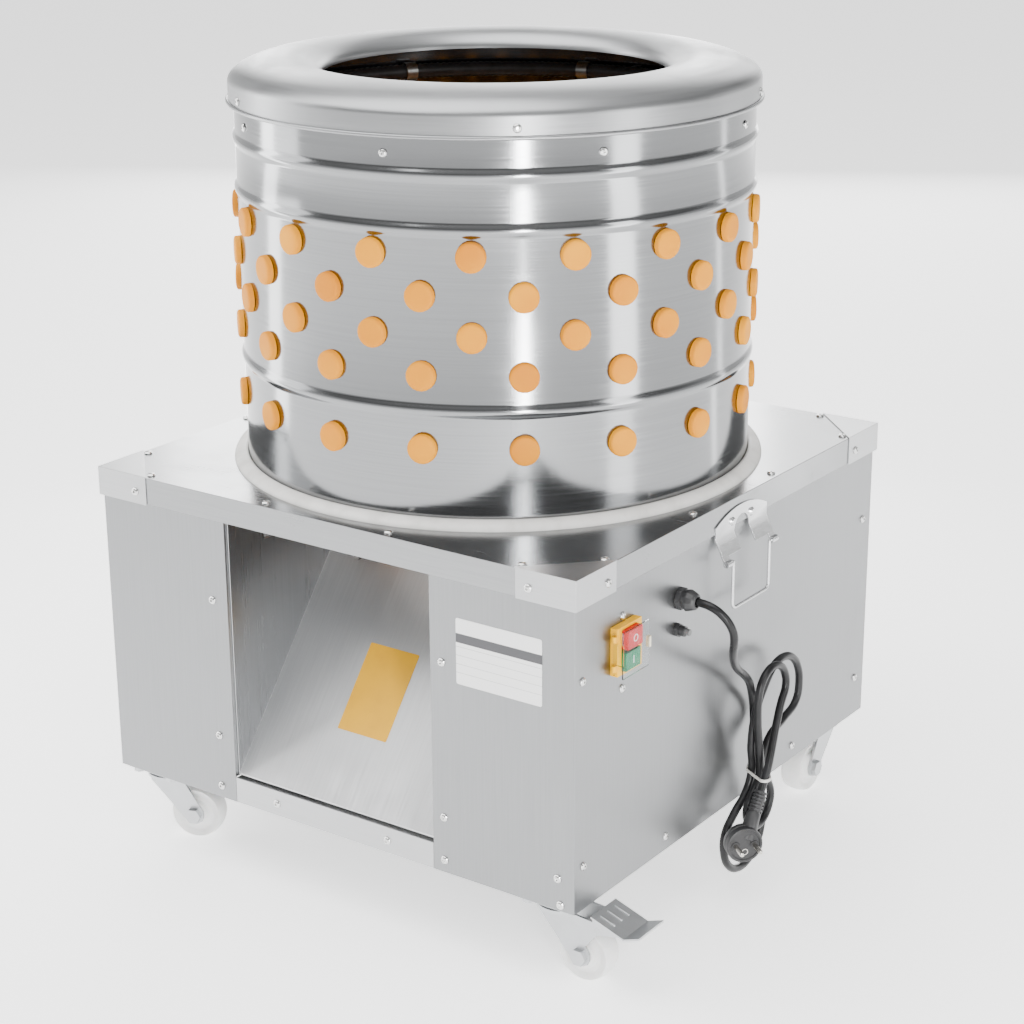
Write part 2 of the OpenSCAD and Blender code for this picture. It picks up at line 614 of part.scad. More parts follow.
module motor_mount() color("slategray") difference() {
    translate([-mount_half, beam_y - beam_w / 2, mount_z])
        cube([2 * mount_half, rear_beam_y - beam_y + beam_w, mount_t]);
    translate([0, belt_centre, mount_z - eps]) cylinder(r = motor_shaft_d / 2 + 8, h = 10);
    for (x = [-75, 75], y = [beam_y, rear_beam_y]) translate([x, y, mount_z - eps])
        cylinder(r = 4.5, h = 10);
}
module cable_gland() color("black") translate([half_w, gland_y, gland_z]) rotate([0, 90, 0]) difference() {
    union() {
        cylinder(d = gland_d, h = 6, $fn = 6);
        translate([0, 0, 6]) cylinder(r = gland_d / 2 - 2, h = 3);
        translate([0, 0, 9]) cylinder(r1 = gland_d / 2 - 0.5, r2 = gland_d / 2 - 4, h = gland_l - 9);
        translate([0, 0, -sheet_t - 12]) cylinder(r = gland_d / 2 - 2, h = sheet_t + 12);
        translate([0, 0, -sheet_t - 5]) cylinder(d = gland_d, h = 5, $fn = 6);
    }
    translate([0, 0, -sheet_t - 13]) cylinder(d = cord_d + 1, h = sheet_t + 13 + gland_l - 3);
}
module switch_frame() color("gold") difference() {
    union() {
        translate([half_w, switch_y - switch_w / 2, switch_z - switch_h / 2])
            cube([switch_depth, switch_w, switch_h]);
        for (z = [-1, 1]) translate([flap_pin_x, flap_pin_y, switch_z + z * (switch_h / 2 - 9) - 3])
            cylinder(r = 2.4, h = 6);
    }
    translate([half_w - eps, switch_y - button_w / 2 - play, start_z - button_h / 2 - play])
        cube([switch_depth + 2 * eps, button_w + 2 * play, stop_z - start_z + button_h + 2 * play]);
    translate([flap_pin_x, flap_pin_y, switch_z - switch_h]) cylinder(r = 1 + run, h = 2 * switch_h);
}
module switch_body() color("dimgray") difference() {
    translate([half_w - switch_body_l, switch_y - switch_body_w / 2, switch_z - switch_body_h / 2])
        cube([switch_body_l, switch_body_w, switch_body_h]);
    translate([half_w - 8, switch_y - button_w / 2 - play, start_z - button_h / 2 - play])
        cube([9, button_w + 2 * play, stop_z - start_z + button_h + 2 * play]);
}
module push_button(z, out) {
    translate([half_w - 4, switch_y - button_w / 2, z - button_h / 2])
        cube([4 + switch_depth + out, button_w, button_h]);
}
module stop_button() color("red") push_button(stop_z, stop_out);
module start_button() color("green") push_button(start_z, start_out);
// Clear flap over the buttons, hinged at its left edge
module switch_flap() color("azure") {
    wall = 1.2;
    top_y = switch_y + switch_w / 2;
    translate([flap_x, flap_pin_y - 1, switch_z - switch_h / 2 + 1])
        cube([wall, top_y - flap_pin_y + 1, switch_h - 2]);
    translate([flap_pin_x, flap_pin_y - 1, switch_z - switch_h / 2 + 13])
        cube([flap_x - flap_pin_x + wall, 2, switch_h - 26]);
    translate([flap_pin_x, flap_pin_y, switch_z - switch_h / 2 + 3]) cylinder(r = 1, h = switch_h - 6);
    translate([flap_x - 3, top_y, switch_z - 5]) cube([3 + wall, 3, 10]);
}
module reset_body() color("black") translate([half_w, reset_y, reset_z]) rotate([0, 90, 0]) difference() {
    union() {
        cylinder(r = reset_r + 1, h = 4, $fn = 6);
        translate([0, 0, -30]) cylinder(r = reset_r - 1, h = 40);
        translate([0, 0, -sheet_t - 24]) cylinder(r = reset_r + 4, h = 24);
    }
    translate([0, 0, -8]) cylinder(r = reset_r - 2.5, h = 30);
}
module reset_button() color("dimgray")
    translate([half_w - 4, reset_y, reset_z]) rotate([0, 90, 0]) cylinder(r = reset_r - 2.5 - play, h = 19);
module handle_plate() {
    arch_r = 104;
    slope_x = handle_out - knuckle_r + 1;
    difference() {
        union() {
            translate([lid_x, 0, 0]) rotate([90, 0, 90]) linear_extrude(handle_t) intersection() {
                translate([-handle_w / 2, handle_fold_z]) square([handle_w, lid_z - handle_fold_z]);
                translate([0, lid_z - 8 - arch_r]) circle(r = arch_r, $fn = 128);
            }
            translate([lid_x, handle_w / 2, 0]) rotate([90, 0, 0]) linear_extrude(handle_w)
                polygon([[0, handle_fold_z], [handle_t, handle_fold_z],
                    [slope_x + handle_t, handle_pin_z + 1], [slope_x, handle_pin_z]]);
            translate([handle_pin_x, handle_w / 2, handle_pin_z]) rotate([90, 0, 0])
                cylinder(r = knuckle_r, h = handle_w);
        }
        translate([handle_pin_x, handle_w / 2 + eps, handle_pin_z]) rotate([90, 0, 0])
            cylinder(r = wire_d / 2 + run, h = handle_w + 2 * eps);
        translate([handle_pin_x - knuckle_r - 6, -handle_w / 2 + knuckle_w, handle_pin_z - 20])
            cube([40, handle_w - 2 * knuckle_w, 23 + knuckle_r]);
        translate([lid_x - eps, -14, handle_fold_z - 40]) cube([40, 28, 40]);
        translate([lid_x - eps, 0, handle_fold_z]) rotate([0, 90, 0]) cylinder(r = 14, h = 40);
    }
    for (y = [-18, 18]) translate([lid_x + handle_t, y, lid_z - 21]) rotate([0, 90, 0])
        cylinder(r1 = 4.5, r2 = 3, h = 2.5);
}
module handle_plates() color("silver") {
    handle_plate();
    mirror([1, 0, 0]) handle_plate();
}
module handle_bail() {
    r = wire_d / 2;
    bend = 6;
    low = handle_pin_z - bail_drop;
    translate([handle_pin_x, 0, 0]) {
        for (m = [0, 1]) mirror([0, m, 0]) {
            translate([0, bail_half, handle_pin_z]) rotate([-90, 0, 0])
                cylinder(r = r, h = handle_w / 2 - bail_half - 0.5);
            translate([0, bail_half, handle_pin_z]) sphere(r = r, $fn = 24);
            translate([0, bail_half, low + bend]) cylinder(r = r, h = bail_drop - bend);
            translate([0, bail_half - bend, low + bend]) rotate([90, 0, 90]) rotate([0, 0, -90])
                rotate_extrude(angle = 90, $fn = 32) translate([bend, 0]) circle(r = r, $fn = 24);
        }
        translate([0, bail_half - bend, low]) rotate([90, 0, 0])
            cylinder(r = r, h = 2 * (bail_half - bend));
    }
}
module handle_bail_right() color("lightgray") handle_bail();
module handle_bail_left() color("lightgray") mirror([1, 0, 0]) handle_bail();
// Pan-head screw with a hexagon socket, its seat on z = 0
module screw() difference() {
    rotate_extrude($fn = 24) polygon([[0, 0], [screw_d / 2, 0], [screw_d / 2, screw_h * 0.4],
        [screw_d * 0.38, screw_h * 0.85], [screw_d * 0.2, screw_h], [0, screw_h]]);
    translate([0, 0, screw_h * 0.45]) cylinder(d = screw_d * 0.35, h = screw_h, $fn = 6);
}
module cabinet_screws() color("white") {
    edge = 9;
    far = min(half_w, half_d) - cap_leg + 6;
    ring_clear = pan_in + foot_ring_w + screw_d / 2 + 2;
    near = max(73.5, sqrt(max(0, pow(ring_clear, 2) - pow(min(lid_x, lid_y) - edge, 2))));
    for (p = [-far, -near, near, far]) {
        for (s = [-1, 1]) translate([p, s * (lid_y - edge), lid_z]) screw();
        for (s = [-1, 1]) translate([s * (lid_x - edge), p, lid_z]) screw();
    }
    for (m = [0, 1]) mirror([0, m, 0]) for (s = [-1, 1])
        translate([s * (lid_x - 49), -lid_y - cap_t, lid_z - 16]) rotate([90, 0, 0]) screw();
    for (m = [0, 1]) mirror([m, 0, 0]) for (s = [-1, 1])
        translate([lid_x + cap_t, s * (lid_y - 49), lid_z - 16]) rotate([0, 90, 0]) screw();
    left = -chute_w / 2 - 19;
    right = chute_w / 2 + 13;
    for (p = [[left, lid_z - 111], [left, lid_z - 255], [left, castor_h + 13],
        [right, lid_z - 110], [right, lid_z - 266], [right, castor_h + 13],
        [half_w - 18, castor_h + 32], [half_w - 15, castor_h + 6], [-70, castor_h + 13],
        [68, castor_h + 13]])
        translate([p[0], -half_d, p[1]]) rotate([90, 0, 0]) screw();
    for (m = [0, 1]) mirror([m, 0, 0]) for (p = [[-half_d + 12, lid_z - 98], [-half_d + 14, castor_h + 44],
        [-125, castor_h + 15], [123, castor_h + 15], [half_d - 18, lid_z - 100],
        [half_d - 20, castor_h + 43]])
        translate([half_w, p[0], p[1]]) rotate([0, 90, 0]) screw();
    for (s = [-1, 1], p = [[half_w - 18, lid_z - 98], [half_w - 18, castor_h + 44],
        [125, castor_h + 15]])
        translate([s * p[0], half_d, p[1]]) rotate([-90, 0, 0]) screw();
    for (z = [28, -42]) translate([half_w, switch_y, switch_z + z]) rotate([0, 90, 0]) screw();
}
module drum_screws() color("white") {
    for (i = [0 : collar_screw_count - 1])
        rotate([0, 0, collar_screw_phase + i * 360 / collar_screw_count - 90])
            translate([collar_r, 0, collar_screw_z]) rotate([0, 90, 0]) {
                screw();
                translate([0, 0, drum_in - collar_r - 3])
                    cylinder(r = rivet_r, h = collar_r - drum_in + 3.5);
            }
    for (i = [0 : clip_count - 1])
        rotate([0, 0, clip_phase + i * 360 / clip_count - 90])
            translate([drum_r, 0, rivet_z]) rotate([0, 90, 0]) {
                screw();
                translate([0, 0, -drum_wall - fit]) cylinder(r = rivet_r, h = drum_wall + fit + 0.5);
            }
}
// Places a castor's piece: the side, the end, the direction of its wheel and which level
module at_castor(sx, sy, turn) translate([sx * castor_x, sy * castor_y, castor_h])
    rotate([0, 0, turn]) children();
module castor_plates() color("silver")
    for (sx = [-1, 1], sy = [-1, 1]) at_castor(sx, sy, 0) {
        translate([-castor_plate / 2, -castor_plate / 2, -plate_thick])
            cube([castor_plate, castor_plate, plate_thick]);
        translate([0, 0, -plate_thick - race_h]) cylinder(r = race_r, h = race_h);
        translate([0, 0, -plate_thick - race_h - crown_t - 2 * fit - 3]) cylinder(r = 6, h = 8);
        translate([0, 0, -plate_thick - race_h - crown_t - 2 * fit - 3]) cylinder(r = 10, h = 3);
        for (bx = [-1, 1], by = [-1, 1])
            translate([bx * (castor_plate / 2 - 7.5), by * (castor_plate / 2 - 7.5), -plate_thick - 5])
                cylinder(r = 6, h = 5, $fn = 6);
    }
module fork(brake) color("silver") {
    crown_z = -plate_thick - race_h - fit - crown_t;
    difference() {
        union() {
            translate([0, 0, crown_z]) cylinder(r = crown_r, h = crown_t);
            for (s = [-1, 1]) translate([0, s * (leg_in + leg_t / 2) + leg_t / 2, 0]) rotate([90, 0, 0])
                linear_extrude(leg_t) {
                    polygon([[-16, crown_z + crown_t], [17, crown_z + crown_t], [trail + 10, axle_z + 4],
                        [trail + 8, axle_z - 7], [trail, axle_z - 10], [trail - 8, axle_z - 7],
                        [-16, crown_z - 4]]);
                    translate([trail, axle_z]) circle(r = 10);
                    if (brake) polygon([[14, crown_z + crown_t - 1], [pedal_pin_x, pedal_pin_z + 5],
                        [pedal_pin_x + 5, pedal_pin_z], [pedal_pin_x, pedal_pin_z - 5],
                        [trail + 4, axle_z + 10]]);
                }
        }
        cylinder(r = 6 + run, h = 80, center = true);
        translate([trail, 0, axle_z]) rotate([90, 0, 0]) cylinder(r = axle_r + run, h = 80, center = true);
        if (brake) translate([pedal_pin_x, 0, pedal_pin_z]) rotate([90, 0, 0])
            cylinder(r = 2.5 + run, h = 80, center = true);
    }
    translate([trail, 0, axle_z]) rotate([90, 0, 0]) {
        cylinder(r = axle_r, h = 2 * (leg_in + leg_t) + 6, center = true);
        for (s = [-1, 1]) translate([0, 0, s * (leg_in + leg_t + 2.5)])
            cylinder(r = 8.5, h = 5, $fn = 6, center = true);
    }
    if (brake) translate([pedal_pin_x, 0, pedal_pin_z]) rotate([90, 0, 0])
        cylinder(r = 2.5, h = 2 * (leg_in + leg_t + fit + cheek_t), center = true);
}
module castor_fork_front_right() at_castor(1, -1, 0) fork(true);
module castor_fork_front_left() at_castor(-1, -1, 20) fork(false);
module castor_fork_rear_right() at_castor(1, 1, -90) fork(false);
module castor_fork_rear_left() at_castor(-1, 1, 180) fork(true);
module wheel() color("white") translate([trail, 0, axle_z]) rotate([90, 0, 0]) rotate_extrude($fn = 96)
    polygon(concat([[axle_r + run, -leg_in + play], [13, -leg_in + play], [14, -wheel_w / 2 + 3],
            [wheel_d / 2 - 8, -wheel_w / 2 + 3]],
        [for (a = [-60 : 15 : 60]) [wheel_d / 2 - 4.5 + 4.5 * cos(a), wheel_w / 2 * sin(a) / sin(60)]],
        [[wheel_d / 2 - 8, wheel_w / 2 - 3], [14, wheel_w / 2 - 3], [13, leg_in - play],
            [axle_r + run, leg_in - play]]));
module castor_wheel_front_right() at_castor(1, -1, 0) wheel();
module castor_wheel_front_left() at_castor(-1, -1, 20) wheel();
module castor_wheel_rear_right() at_castor(1, 1, -90) wheel();
module castor_wheel_rear_left() at_castor(-1, 1, 180) wheel();
module pedal() color("silver") difference() {
    x0 = pedal_pin_x - 5;
    x1 = x0 + pedal_l * 0.68;
    x2 = x0 + pedal_l;
    cheek = leg_in + leg_t + fit;
    union() {
        translate([0, pedal_half, 0]) rotate([90, 0, 0]) linear_extrude(2 * pedal_half)
            polygon([[x0, -6], [x0, -4], [x1, -16], [x2, -10], [x2, -12.2], [x1, -18.2]]);
        for (s = [-1, 1]) translate([0, s * (cheek + cheek_t / 2) + cheek_t / 2, 0]) rotate([90, 0, 0])
            linear_extrude(cheek_t)
                polygon([[x0, -5], [x0, pedal_pin_z], [pedal_pin_x, pedal_pin_z - 5], [x1, -17]]);
    }
    translate([pedal_pin_x, 0, pedal_pin_z]) rotate([90, 0, 0])
        cylinder(r = 2.5 + run, h = 80, center = true);
}
module brake_pedal_front() at_castor(1, -1, 0) pedal();
module brake_pedal_rear() at_castor(-1, 1, 180) pedal();

// Sweeps a round tube along points. Each ring is square to the run through its point.
function unit(v) = v / norm(v);
function run_dir(p, i) = i == 0 ? unit(p[1] - p[0]) : i == len(p) - 1 ? unit(p[i] - p[i - 1])
    : unit(unit(p[i + 1] - p[i]) + unit(p[i] - p[i - 1]));
function across(d) = unit(cross(d, abs(d[0]) > 0.9 ? [0, 1, 0] : [1, 0, 0]));
function ring_points(c, d, r, n) = let (u = across(d), v = cross(d, u))
    [for (k = [0 : n - 1]) c + r * (cos(360 * k / n) * u + sin(360 * k / n) * v)];
function flat(a) = [for (b = a, c = b) c];
module tube(p, r, n) {
    m = len(p);
    polyhedron(
        points = concat(flat([for (i = [0 : m - 1]) ring_points(p[i], run_dir(p, i), r, n)]),
            [p[0], p[m - 1]]),
        faces = concat(
            flat([for (i = [0 : m - 2], k = [0 : n - 1]) let (a = i * n + k, b = i * n + (k + 1) % n)
                [[a, b, b + n], [a, b + n, a + n]]]),
            [for (k = [0 : n - 1]) [m * n, (k + 1) % n, k]],
            [for (k = [0 : n - 1]) [m * n + 1, (m - 1) * n + k, (m - 1) * n + (k + 1) % n]]),
        convexity = 10);
}
module cord_lead() color("black") tube(lead_points, cord_d / 2, cord_sides);
// Place of ring t of loop k: legs drawn in at the waist, a round tip, and the loop's own tilt
function hank_place(k, t) =
    let (up = sign(loops[k][0]), wide = loops[k][1], straight = abs(loops[k][0]) - wide)
    let (side = (k % 2 == 0 ? 1 : -1) * (t <= loop_rings / 2 ? 1 : -1))
    let (leg = loop_rings / 4, far = min(t, loop_rings - t), bend = 90 * max(far - leg, 0) / leg)
    let (ease = (1 - cos(180 * min(far / leg, 1))) / 2, turn = loops[k][2] * ease)
    let (y = side * (waist_half + (wide - waist_half) * ease - wide * (1 - cos(bend))))
    let (z = up * (straight * min(far / leg, 1) + wide * sin(bend)))
    waist + [run_step * (k + t / loop_rings), y * cos(turn) + z * sin(turn), z * cos(turn) - y * sin(turn)];
function loop_places(k, last) = [for (t = [0 : last]) hank_place(k, t)];
hank_points = concat([lead_points[len(lead_points) - 1]], loop_places(0, loop_rings - 1),
    loop_places(1, loop_rings - 1), loop_places(2, loop_rings - 1), loop_places(3, tail_ring), tail_points);
// Length of the cord, and its least gap to itself between points that aren't neighbours
cord_points = concat(lead_points, [for (i = [1 : len(hank_points) - 1]) hank_points[i]]);
cord_l = [for (i = [1 : len(cord_points) - 1]) norm(cord_points[i] - cord_points[i - 1])]
    * [for (i = [1 : len(cord_points) - 1]) 1];
fine_points = flat([for (i = [1 : len(cord_points) - 1], s = [0 : 0.25 : 0.75])
    [cord_points[i - 1] * (1 - s) + cord_points[i] * s]]);
neighbours = 16;
least_gap = min([for (i = [0 : len(fine_points) - neighbours - 1],
    j = [i + neighbours : len(fine_points) - 1])
    norm(fine_points[i] - fine_points[j])]) - cord_d;
echo(cord_length = cord_l, least_gap_of_the_cord_to_itself = least_gap);
module cord_hank() color("black") tube(hank_points, cord_d / 2, 6);
module tie_outline(grow) hull() {
    for (k = [0 : 3]) translate([hank_place(k, 0)[0], hank_place(k, 0)[1]])
        circle(r = cord_d / 2 + grow, $fn = 32);
    for (y = [-4.6, -7]) translate([tail_points[4][0], y]) circle(r = cord_d / 2 + grow, $fn = 32);
}
module cord_tie() color("white") translate([0, 0, waist[2] - tie_h / 2]) linear_extrude(tie_h)
    difference() {
    tie_outline(tie_gap + tie_t);
    tie_outline(tie_gap);
}
// Ribbed strain relief along -Z from the end of the cord
module plug_relief() {
    rib = 3.4;
    rib_count = 6;
    slot_r = cord_d / 2 + 1.5;
    rotate([180, 0, 0]) rotate_extrude($fn = 32) polygon(concat([[0, 0], [slot_r + 1, 0]],
        flat([for (i = [0 : rib_count - 1]) [[slot_r + 1.2, rib * i + 0.4], [slot_r + 1.2, rib * i + 2.2],
            [slot_r, rib * i + 2.4], [slot_r, rib * i + 3.2]]]),
        [[slot_r + 1.5, rib * rib_count + 2], [slot_r + 3, plug_reach - 4], [0, plug_reach - 4]]));
}
// Round plug with two pins and the hole of its earth contact
module mains_plug() color("black") {
    plug_at = tail_points[len(tail_points) - 1] + plug_reach * [-0.03, sin(plug_lean), -cos(plug_lean)];
    translate(tail_points[len(tail_points) - 1]) rotate([plug_lean, 0, 0]) plug_relief();
    translate(plug_at) rotate([0, 90, plug_turn]) difference() {
        union() {
            translate([0, 0, -9]) cylinder(r1 = plug_r - 2, r2 = plug_r, h = 2);
            translate([0, 0, -7]) cylinder(r = plug_r, h = 12);
            translate([0, 0, 5]) cylinder(r1 = plug_r, r2 = plug_r - 1.5, h = 1.5);
            for (s = [-1, 1]) translate([0, 9.5 * s, 6]) cylinder(r = 2.4, h = pin_l);
        }
        translate([7, 0, -2]) cylinder(r = 2.5, h = 12);
    }
}

frame();
front_panel_left();
front_panel_right();
front_sill();
side_panel_left();
side_panel_right();
rear_panel();
lid();
corner_caps();
chute();
drum_shell();
drum_pan();
drum_foot_ring();
collar();
spray_ring();
spray_clips();
wall_fingers();
feather_plate();
plate_fingers();
sweeper_blades();
main_shaft();
bearing_housing();
main_bearings();
large_pulley();
v_belt();
motor_body();
motor_shaft();
small_pulley();
motor_fan();
motor_fan_cover();
motor_terminal_box();
motor_mount();
cable_gland();
switch_frame();
switch_body();
stop_button();
start_button();
switch_flap();
reset_body();
reset_button();
handle_plates();
handle_bail_right();
handle_bail_left();
cabinet_screws();
drum_screws();
castor_plates();
castor_fork_front_right();
castor_fork_front_left();
castor_fork_rear_right();
castor_fork_rear_left();
castor_wheel_front_right();
castor_wheel_front_left();
castor_wheel_rear_right();
castor_wheel_rear_left();
brake_pedal_front();
brake_pedal_rear();
cord_lead();
cord_hank();
cord_tie();
mains_plug();
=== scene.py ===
# Drum plucker for poultry, on a stainless cabinet with castors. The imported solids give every
# place and size; the pieces below stand for them with their real edges, curves and finishes.
import math
import bmesh
import bpy
from mathutils import Matrix, Vector


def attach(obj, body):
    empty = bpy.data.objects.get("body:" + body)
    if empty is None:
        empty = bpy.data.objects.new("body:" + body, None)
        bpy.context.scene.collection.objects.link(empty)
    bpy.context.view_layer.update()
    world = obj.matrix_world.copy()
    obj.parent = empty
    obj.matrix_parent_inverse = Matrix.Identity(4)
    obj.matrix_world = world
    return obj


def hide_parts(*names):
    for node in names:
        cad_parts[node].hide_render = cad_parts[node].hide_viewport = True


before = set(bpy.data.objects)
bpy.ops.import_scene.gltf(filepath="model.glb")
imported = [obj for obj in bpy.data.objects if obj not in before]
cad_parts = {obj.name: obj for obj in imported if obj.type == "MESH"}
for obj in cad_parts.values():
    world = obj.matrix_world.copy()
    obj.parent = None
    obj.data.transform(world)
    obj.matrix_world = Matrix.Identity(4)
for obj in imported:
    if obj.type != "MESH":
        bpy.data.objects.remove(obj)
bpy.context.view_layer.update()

# Camera. It stands to the front right of the machine and looks down on it a little.
# Place, turn and lens come from fitting the lid's corners, the drum's rims and the castors.
camera_place = (1.3045, -1.8063, 1.0999)
camera_yaw, camera_pitch, camera_roll = 35.49, 19.05, -0.39
camera_data = bpy.data.cameras.new("photo_camera")
camera_data.sensor_width = 36
camera_data.lens = 80.63
camera = bpy.data.objects.new("photo_camera", camera_data)
bpy.context.scene.collection.objects.link(camera)
camera.matrix_world = (Matrix.Translation(camera_place)
    @ Matrix.Rotation(math.radians(camera_yaw), 4, "Z")
    @ Matrix.Rotation(math.radians(90 - camera_pitch), 4, "X")
    @ Matrix.Rotation(math.radians(camera_roll), 4, "Z"))
bpy.context.scene.camera = camera

# Studio. A wide pale floor that glows a little, soft boxes overhead, beside and behind, tall
# narrow strips that draw upright streaks on the drum, and a pale room with a grey band.
def wire(tree, kind, settings, inputs):
    """A shader node with its settings, its inputs linked or set."""
    node = tree.nodes.new(kind)
    for key, value in settings.items():
        setattr(node, key, value)
    for key, value in inputs.items():
        if isinstance(value, bpy.types.NodeSocket):
            tree.links.new(value, node.inputs[key])
        else:
            node.inputs[key].default_value = value
    return node


def softbox(name, place, aim, wide, tall, watts):
    """A rectangular lamp in metres, turned to what it lights, and unseen by the camera."""
    lamp = bpy.data.lights.new(name, "AREA")
    lamp.shape = "RECTANGLE"
    lamp.size, lamp.size_y = wide, tall
    lamp.energy = watts
    box = bpy.data.objects.new(name, lamp)
    bpy.context.scene.collection.objects.link(box)
    box.location = place
    box.visible_camera = False
    box.rotation_euler = (Vector(aim) - Vector(place)).to_track_quat("-Z", "Y").to_euler()


machine_middle, chute_middle, drum_middle = (0, 0, 0.45), (0, -0.2, 0.2), (0, 0, 0.62)
softbox("overhead_box", (-0.5, -0.7, 3.2), machine_middle, 3.4, 3.4, 170)
softbox("left_wall", (-2.9, -1.2, 1.5), machine_middle, 1.6, 2.6, 50)
softbox("rear_wall", (-1.7, 2.8, 1.4), machine_middle, 2.6, 2.4, 80)
softbox("chute_card", (1.25, -1.2, 0.55), chute_middle, 0.14, 0.8, 18)
strip_ring, strip_tall = 1.25, 1.2
for turn, wide, watts in ((46, 0.05, 1.2), (87, 0.26, 7.0), (-70, 0.22, 6.0), (142, 0.08, 1.2),
        (200, 0.16, 4.0), (-125, 0.2, 4.0)):
    lean = math.radians(turn)
    strip_place = (strip_ring * math.sin(lean), -strip_ring * math.cos(lean), drum_middle[2])
    softbox("strip_" + str(turn % 360), strip_place, drum_middle, wide, strip_tall, watts)

room = bpy.data.worlds.new("studio_room")
bpy.context.scene.world = room
room.use_nodes = True
room_height = wire(room.node_tree, "ShaderNodeSeparateXYZ", {},
    {0: wire(room.node_tree, "ShaderNodeTexCoord", {}, {}).outputs["Generated"]})
room_tone = wire(room.node_tree, "ShaderNodeValToRGB", {}, {0: room_height.outputs["Z"]})
room_tone.color_ramp.elements[0].color = (1.0, 1.0, 1.0, 1)
room_tone.color_ramp.elements[1].color = (0.62, 0.62, 0.62, 1)
room_tone.color_ramp.elements[1].position = 0.75
for height, tone in ((0.16, 0.9), (0.36, 0.2)):
    room_tone.color_ramp.elements.new(height).color = (tone, tone, tone, 1)
room.node_tree.links.new(room_tone.outputs[0], room.node_tree.nodes["Background"].inputs[0])
room.node_tree.nodes["Background"].inputs[1].default_value = 1.2

floor_reach, floor_glow = 40, 1.3
floor_mesh = bmesh.new()
bmesh.ops.create_grid(floor_mesh, x_segments=4, y_segments=4, size=floor_reach)
floor_data = bpy.data.meshes.new("studio_floor")
floor_mesh.to_mesh(floor_data)
floor_mesh.free()
studio_floor = bpy.data.objects.new("studio_floor", floor_data)
bpy.context.scene.collection.objects.link(studio_floor)
floor_paint = bpy.data.materials.new("floor_paint")
floor_paint.use_nodes = True
floor_shader = floor_paint.node_tree.nodes["Principled BSDF"]
floor_shader.inputs["Base Color"].default_value = (0.93, 0.93, 0.93, 1)
floor_shader.inputs["Roughness"].default_value = 0.7
floor_shader.inputs["Emission Color"].default_value = (1, 1, 1, 1)
floor_shader.inputs["Emission Strength"].default_value = floor_glow
floor_data.materials.append(floor_paint)


# Mains cord. Black PVC lead, 8 mm thick: out of its gland, down the side panel, then
# folded into a hank of four loops that a pale tie holds at the waist, and out to the plug.
def effect(name, inputs, outputs):
    """An empty node group with named inputs and outputs, as (tree, its inputs, its outputs)."""
    tree = bpy.data.node_groups.new(name, "ShaderNodeTree")
    for label, kind, value in inputs:
        socket = tree.interface.new_socket(label, in_out="INPUT", socket_type="NodeSocket" + kind)
        socket.default_value = value
    for label, kind in outputs:
        tree.interface.new_socket(label, in_out="OUTPUT", socket_type="NodeSocket" + kind)
    return tree, tree.nodes.new("NodeGroupInput").outputs, tree.nodes.new("NodeGroupOutput").inputs


# Skin of moulded plastic and rubber: a fine orange peel, and slow blotches of a second tone.
moulded_skin, skin_in, skin_out = effect("moulded_skin",
    [("Tone", "Color", (0.1, 0.1, 0.1, 1)), ("Blotch", "Color", (0.2, 0.2, 0.2, 1)),
        ("Gloss", "Float", 0.4), ("Peel", "Float", 0.1), ("Fineness", "Float", 900.0)],
    [("Colour", "Color"), ("Roughness", "Float"), ("Normal", "Vector")])
skin_place = wire(moulded_skin, "ShaderNodeTexCoord", {}, {}).outputs["Object"]
skin_blotch = wire(moulded_skin, "ShaderNodeTexNoise", {},
    {"Vector": skin_place, "Scale": 38.0, "Detail": 4.0, "Roughness": 0.6})
skin_peel = wire(moulded_skin, "ShaderNodeTexNoise", {},
    {"Vector": skin_place, "Scale": skin_in["Fineness"], "Detail": 2.0})
skin_mask = wire(moulded_skin, "ShaderNodeMapRange", {},
    {0: skin_blotch.outputs[0], 1: 0.42, 2: 0.68})
skin_mix = wire(moulded_skin, "ShaderNodeMix", {"data_type": "RGBA"},
    {0: skin_mask.outputs[0], 6: skin_in["Tone"], 7: skin_in["Blotch"]})
skin_uneven = wire(moulded_skin, "ShaderNodeMapRange", {},
    {0: skin_blotch.outputs[0], 3: -0.07, 4: 0.07})
skin_rough = wire(moulded_skin, "ShaderNodeMath", {"operation": "ADD", "use_clamp": True},
    {0: skin_in["Gloss"], 1: skin_uneven.outputs[0]})
skin_bump = wire(moulded_skin, "ShaderNodeBump", {},
    {"Strength": skin_in["Peel"], "Distance": 0.0004, "Height": skin_peel.outputs[0]})
moulded_skin.links.new(skin_mix.outputs[2], skin_out["Colour"])
moulded_skin.links.new(skin_rough.outputs[0], skin_out["Roughness"])
moulded_skin.links.new(skin_bump.outputs[0], skin_out["Normal"])


def finish(name, effect_tree, values, **constants):
    """A material with one Principled shader fed by an effect, its constants on its own sockets."""
    material = bpy.data.materials.new(name)
    material.use_nodes = True
    tree = material.node_tree
    shader = tree.nodes["Principled BSDF"]
    for key, value in constants.items():
        shader.inputs[key.replace("_", " ")].default_value = value
    skin = wire(tree, "ShaderNodeGroup", {"node_tree": effect_tree}, values)
    tree.links.new(skin.outputs["Colour"], shader.inputs["Base Color"])
    tree.links.new(skin.outputs["Roughness"], shader.inputs["Roughness"])
    tree.links.new(skin.outputs["Normal"], shader.inputs["Normal"])
    return material


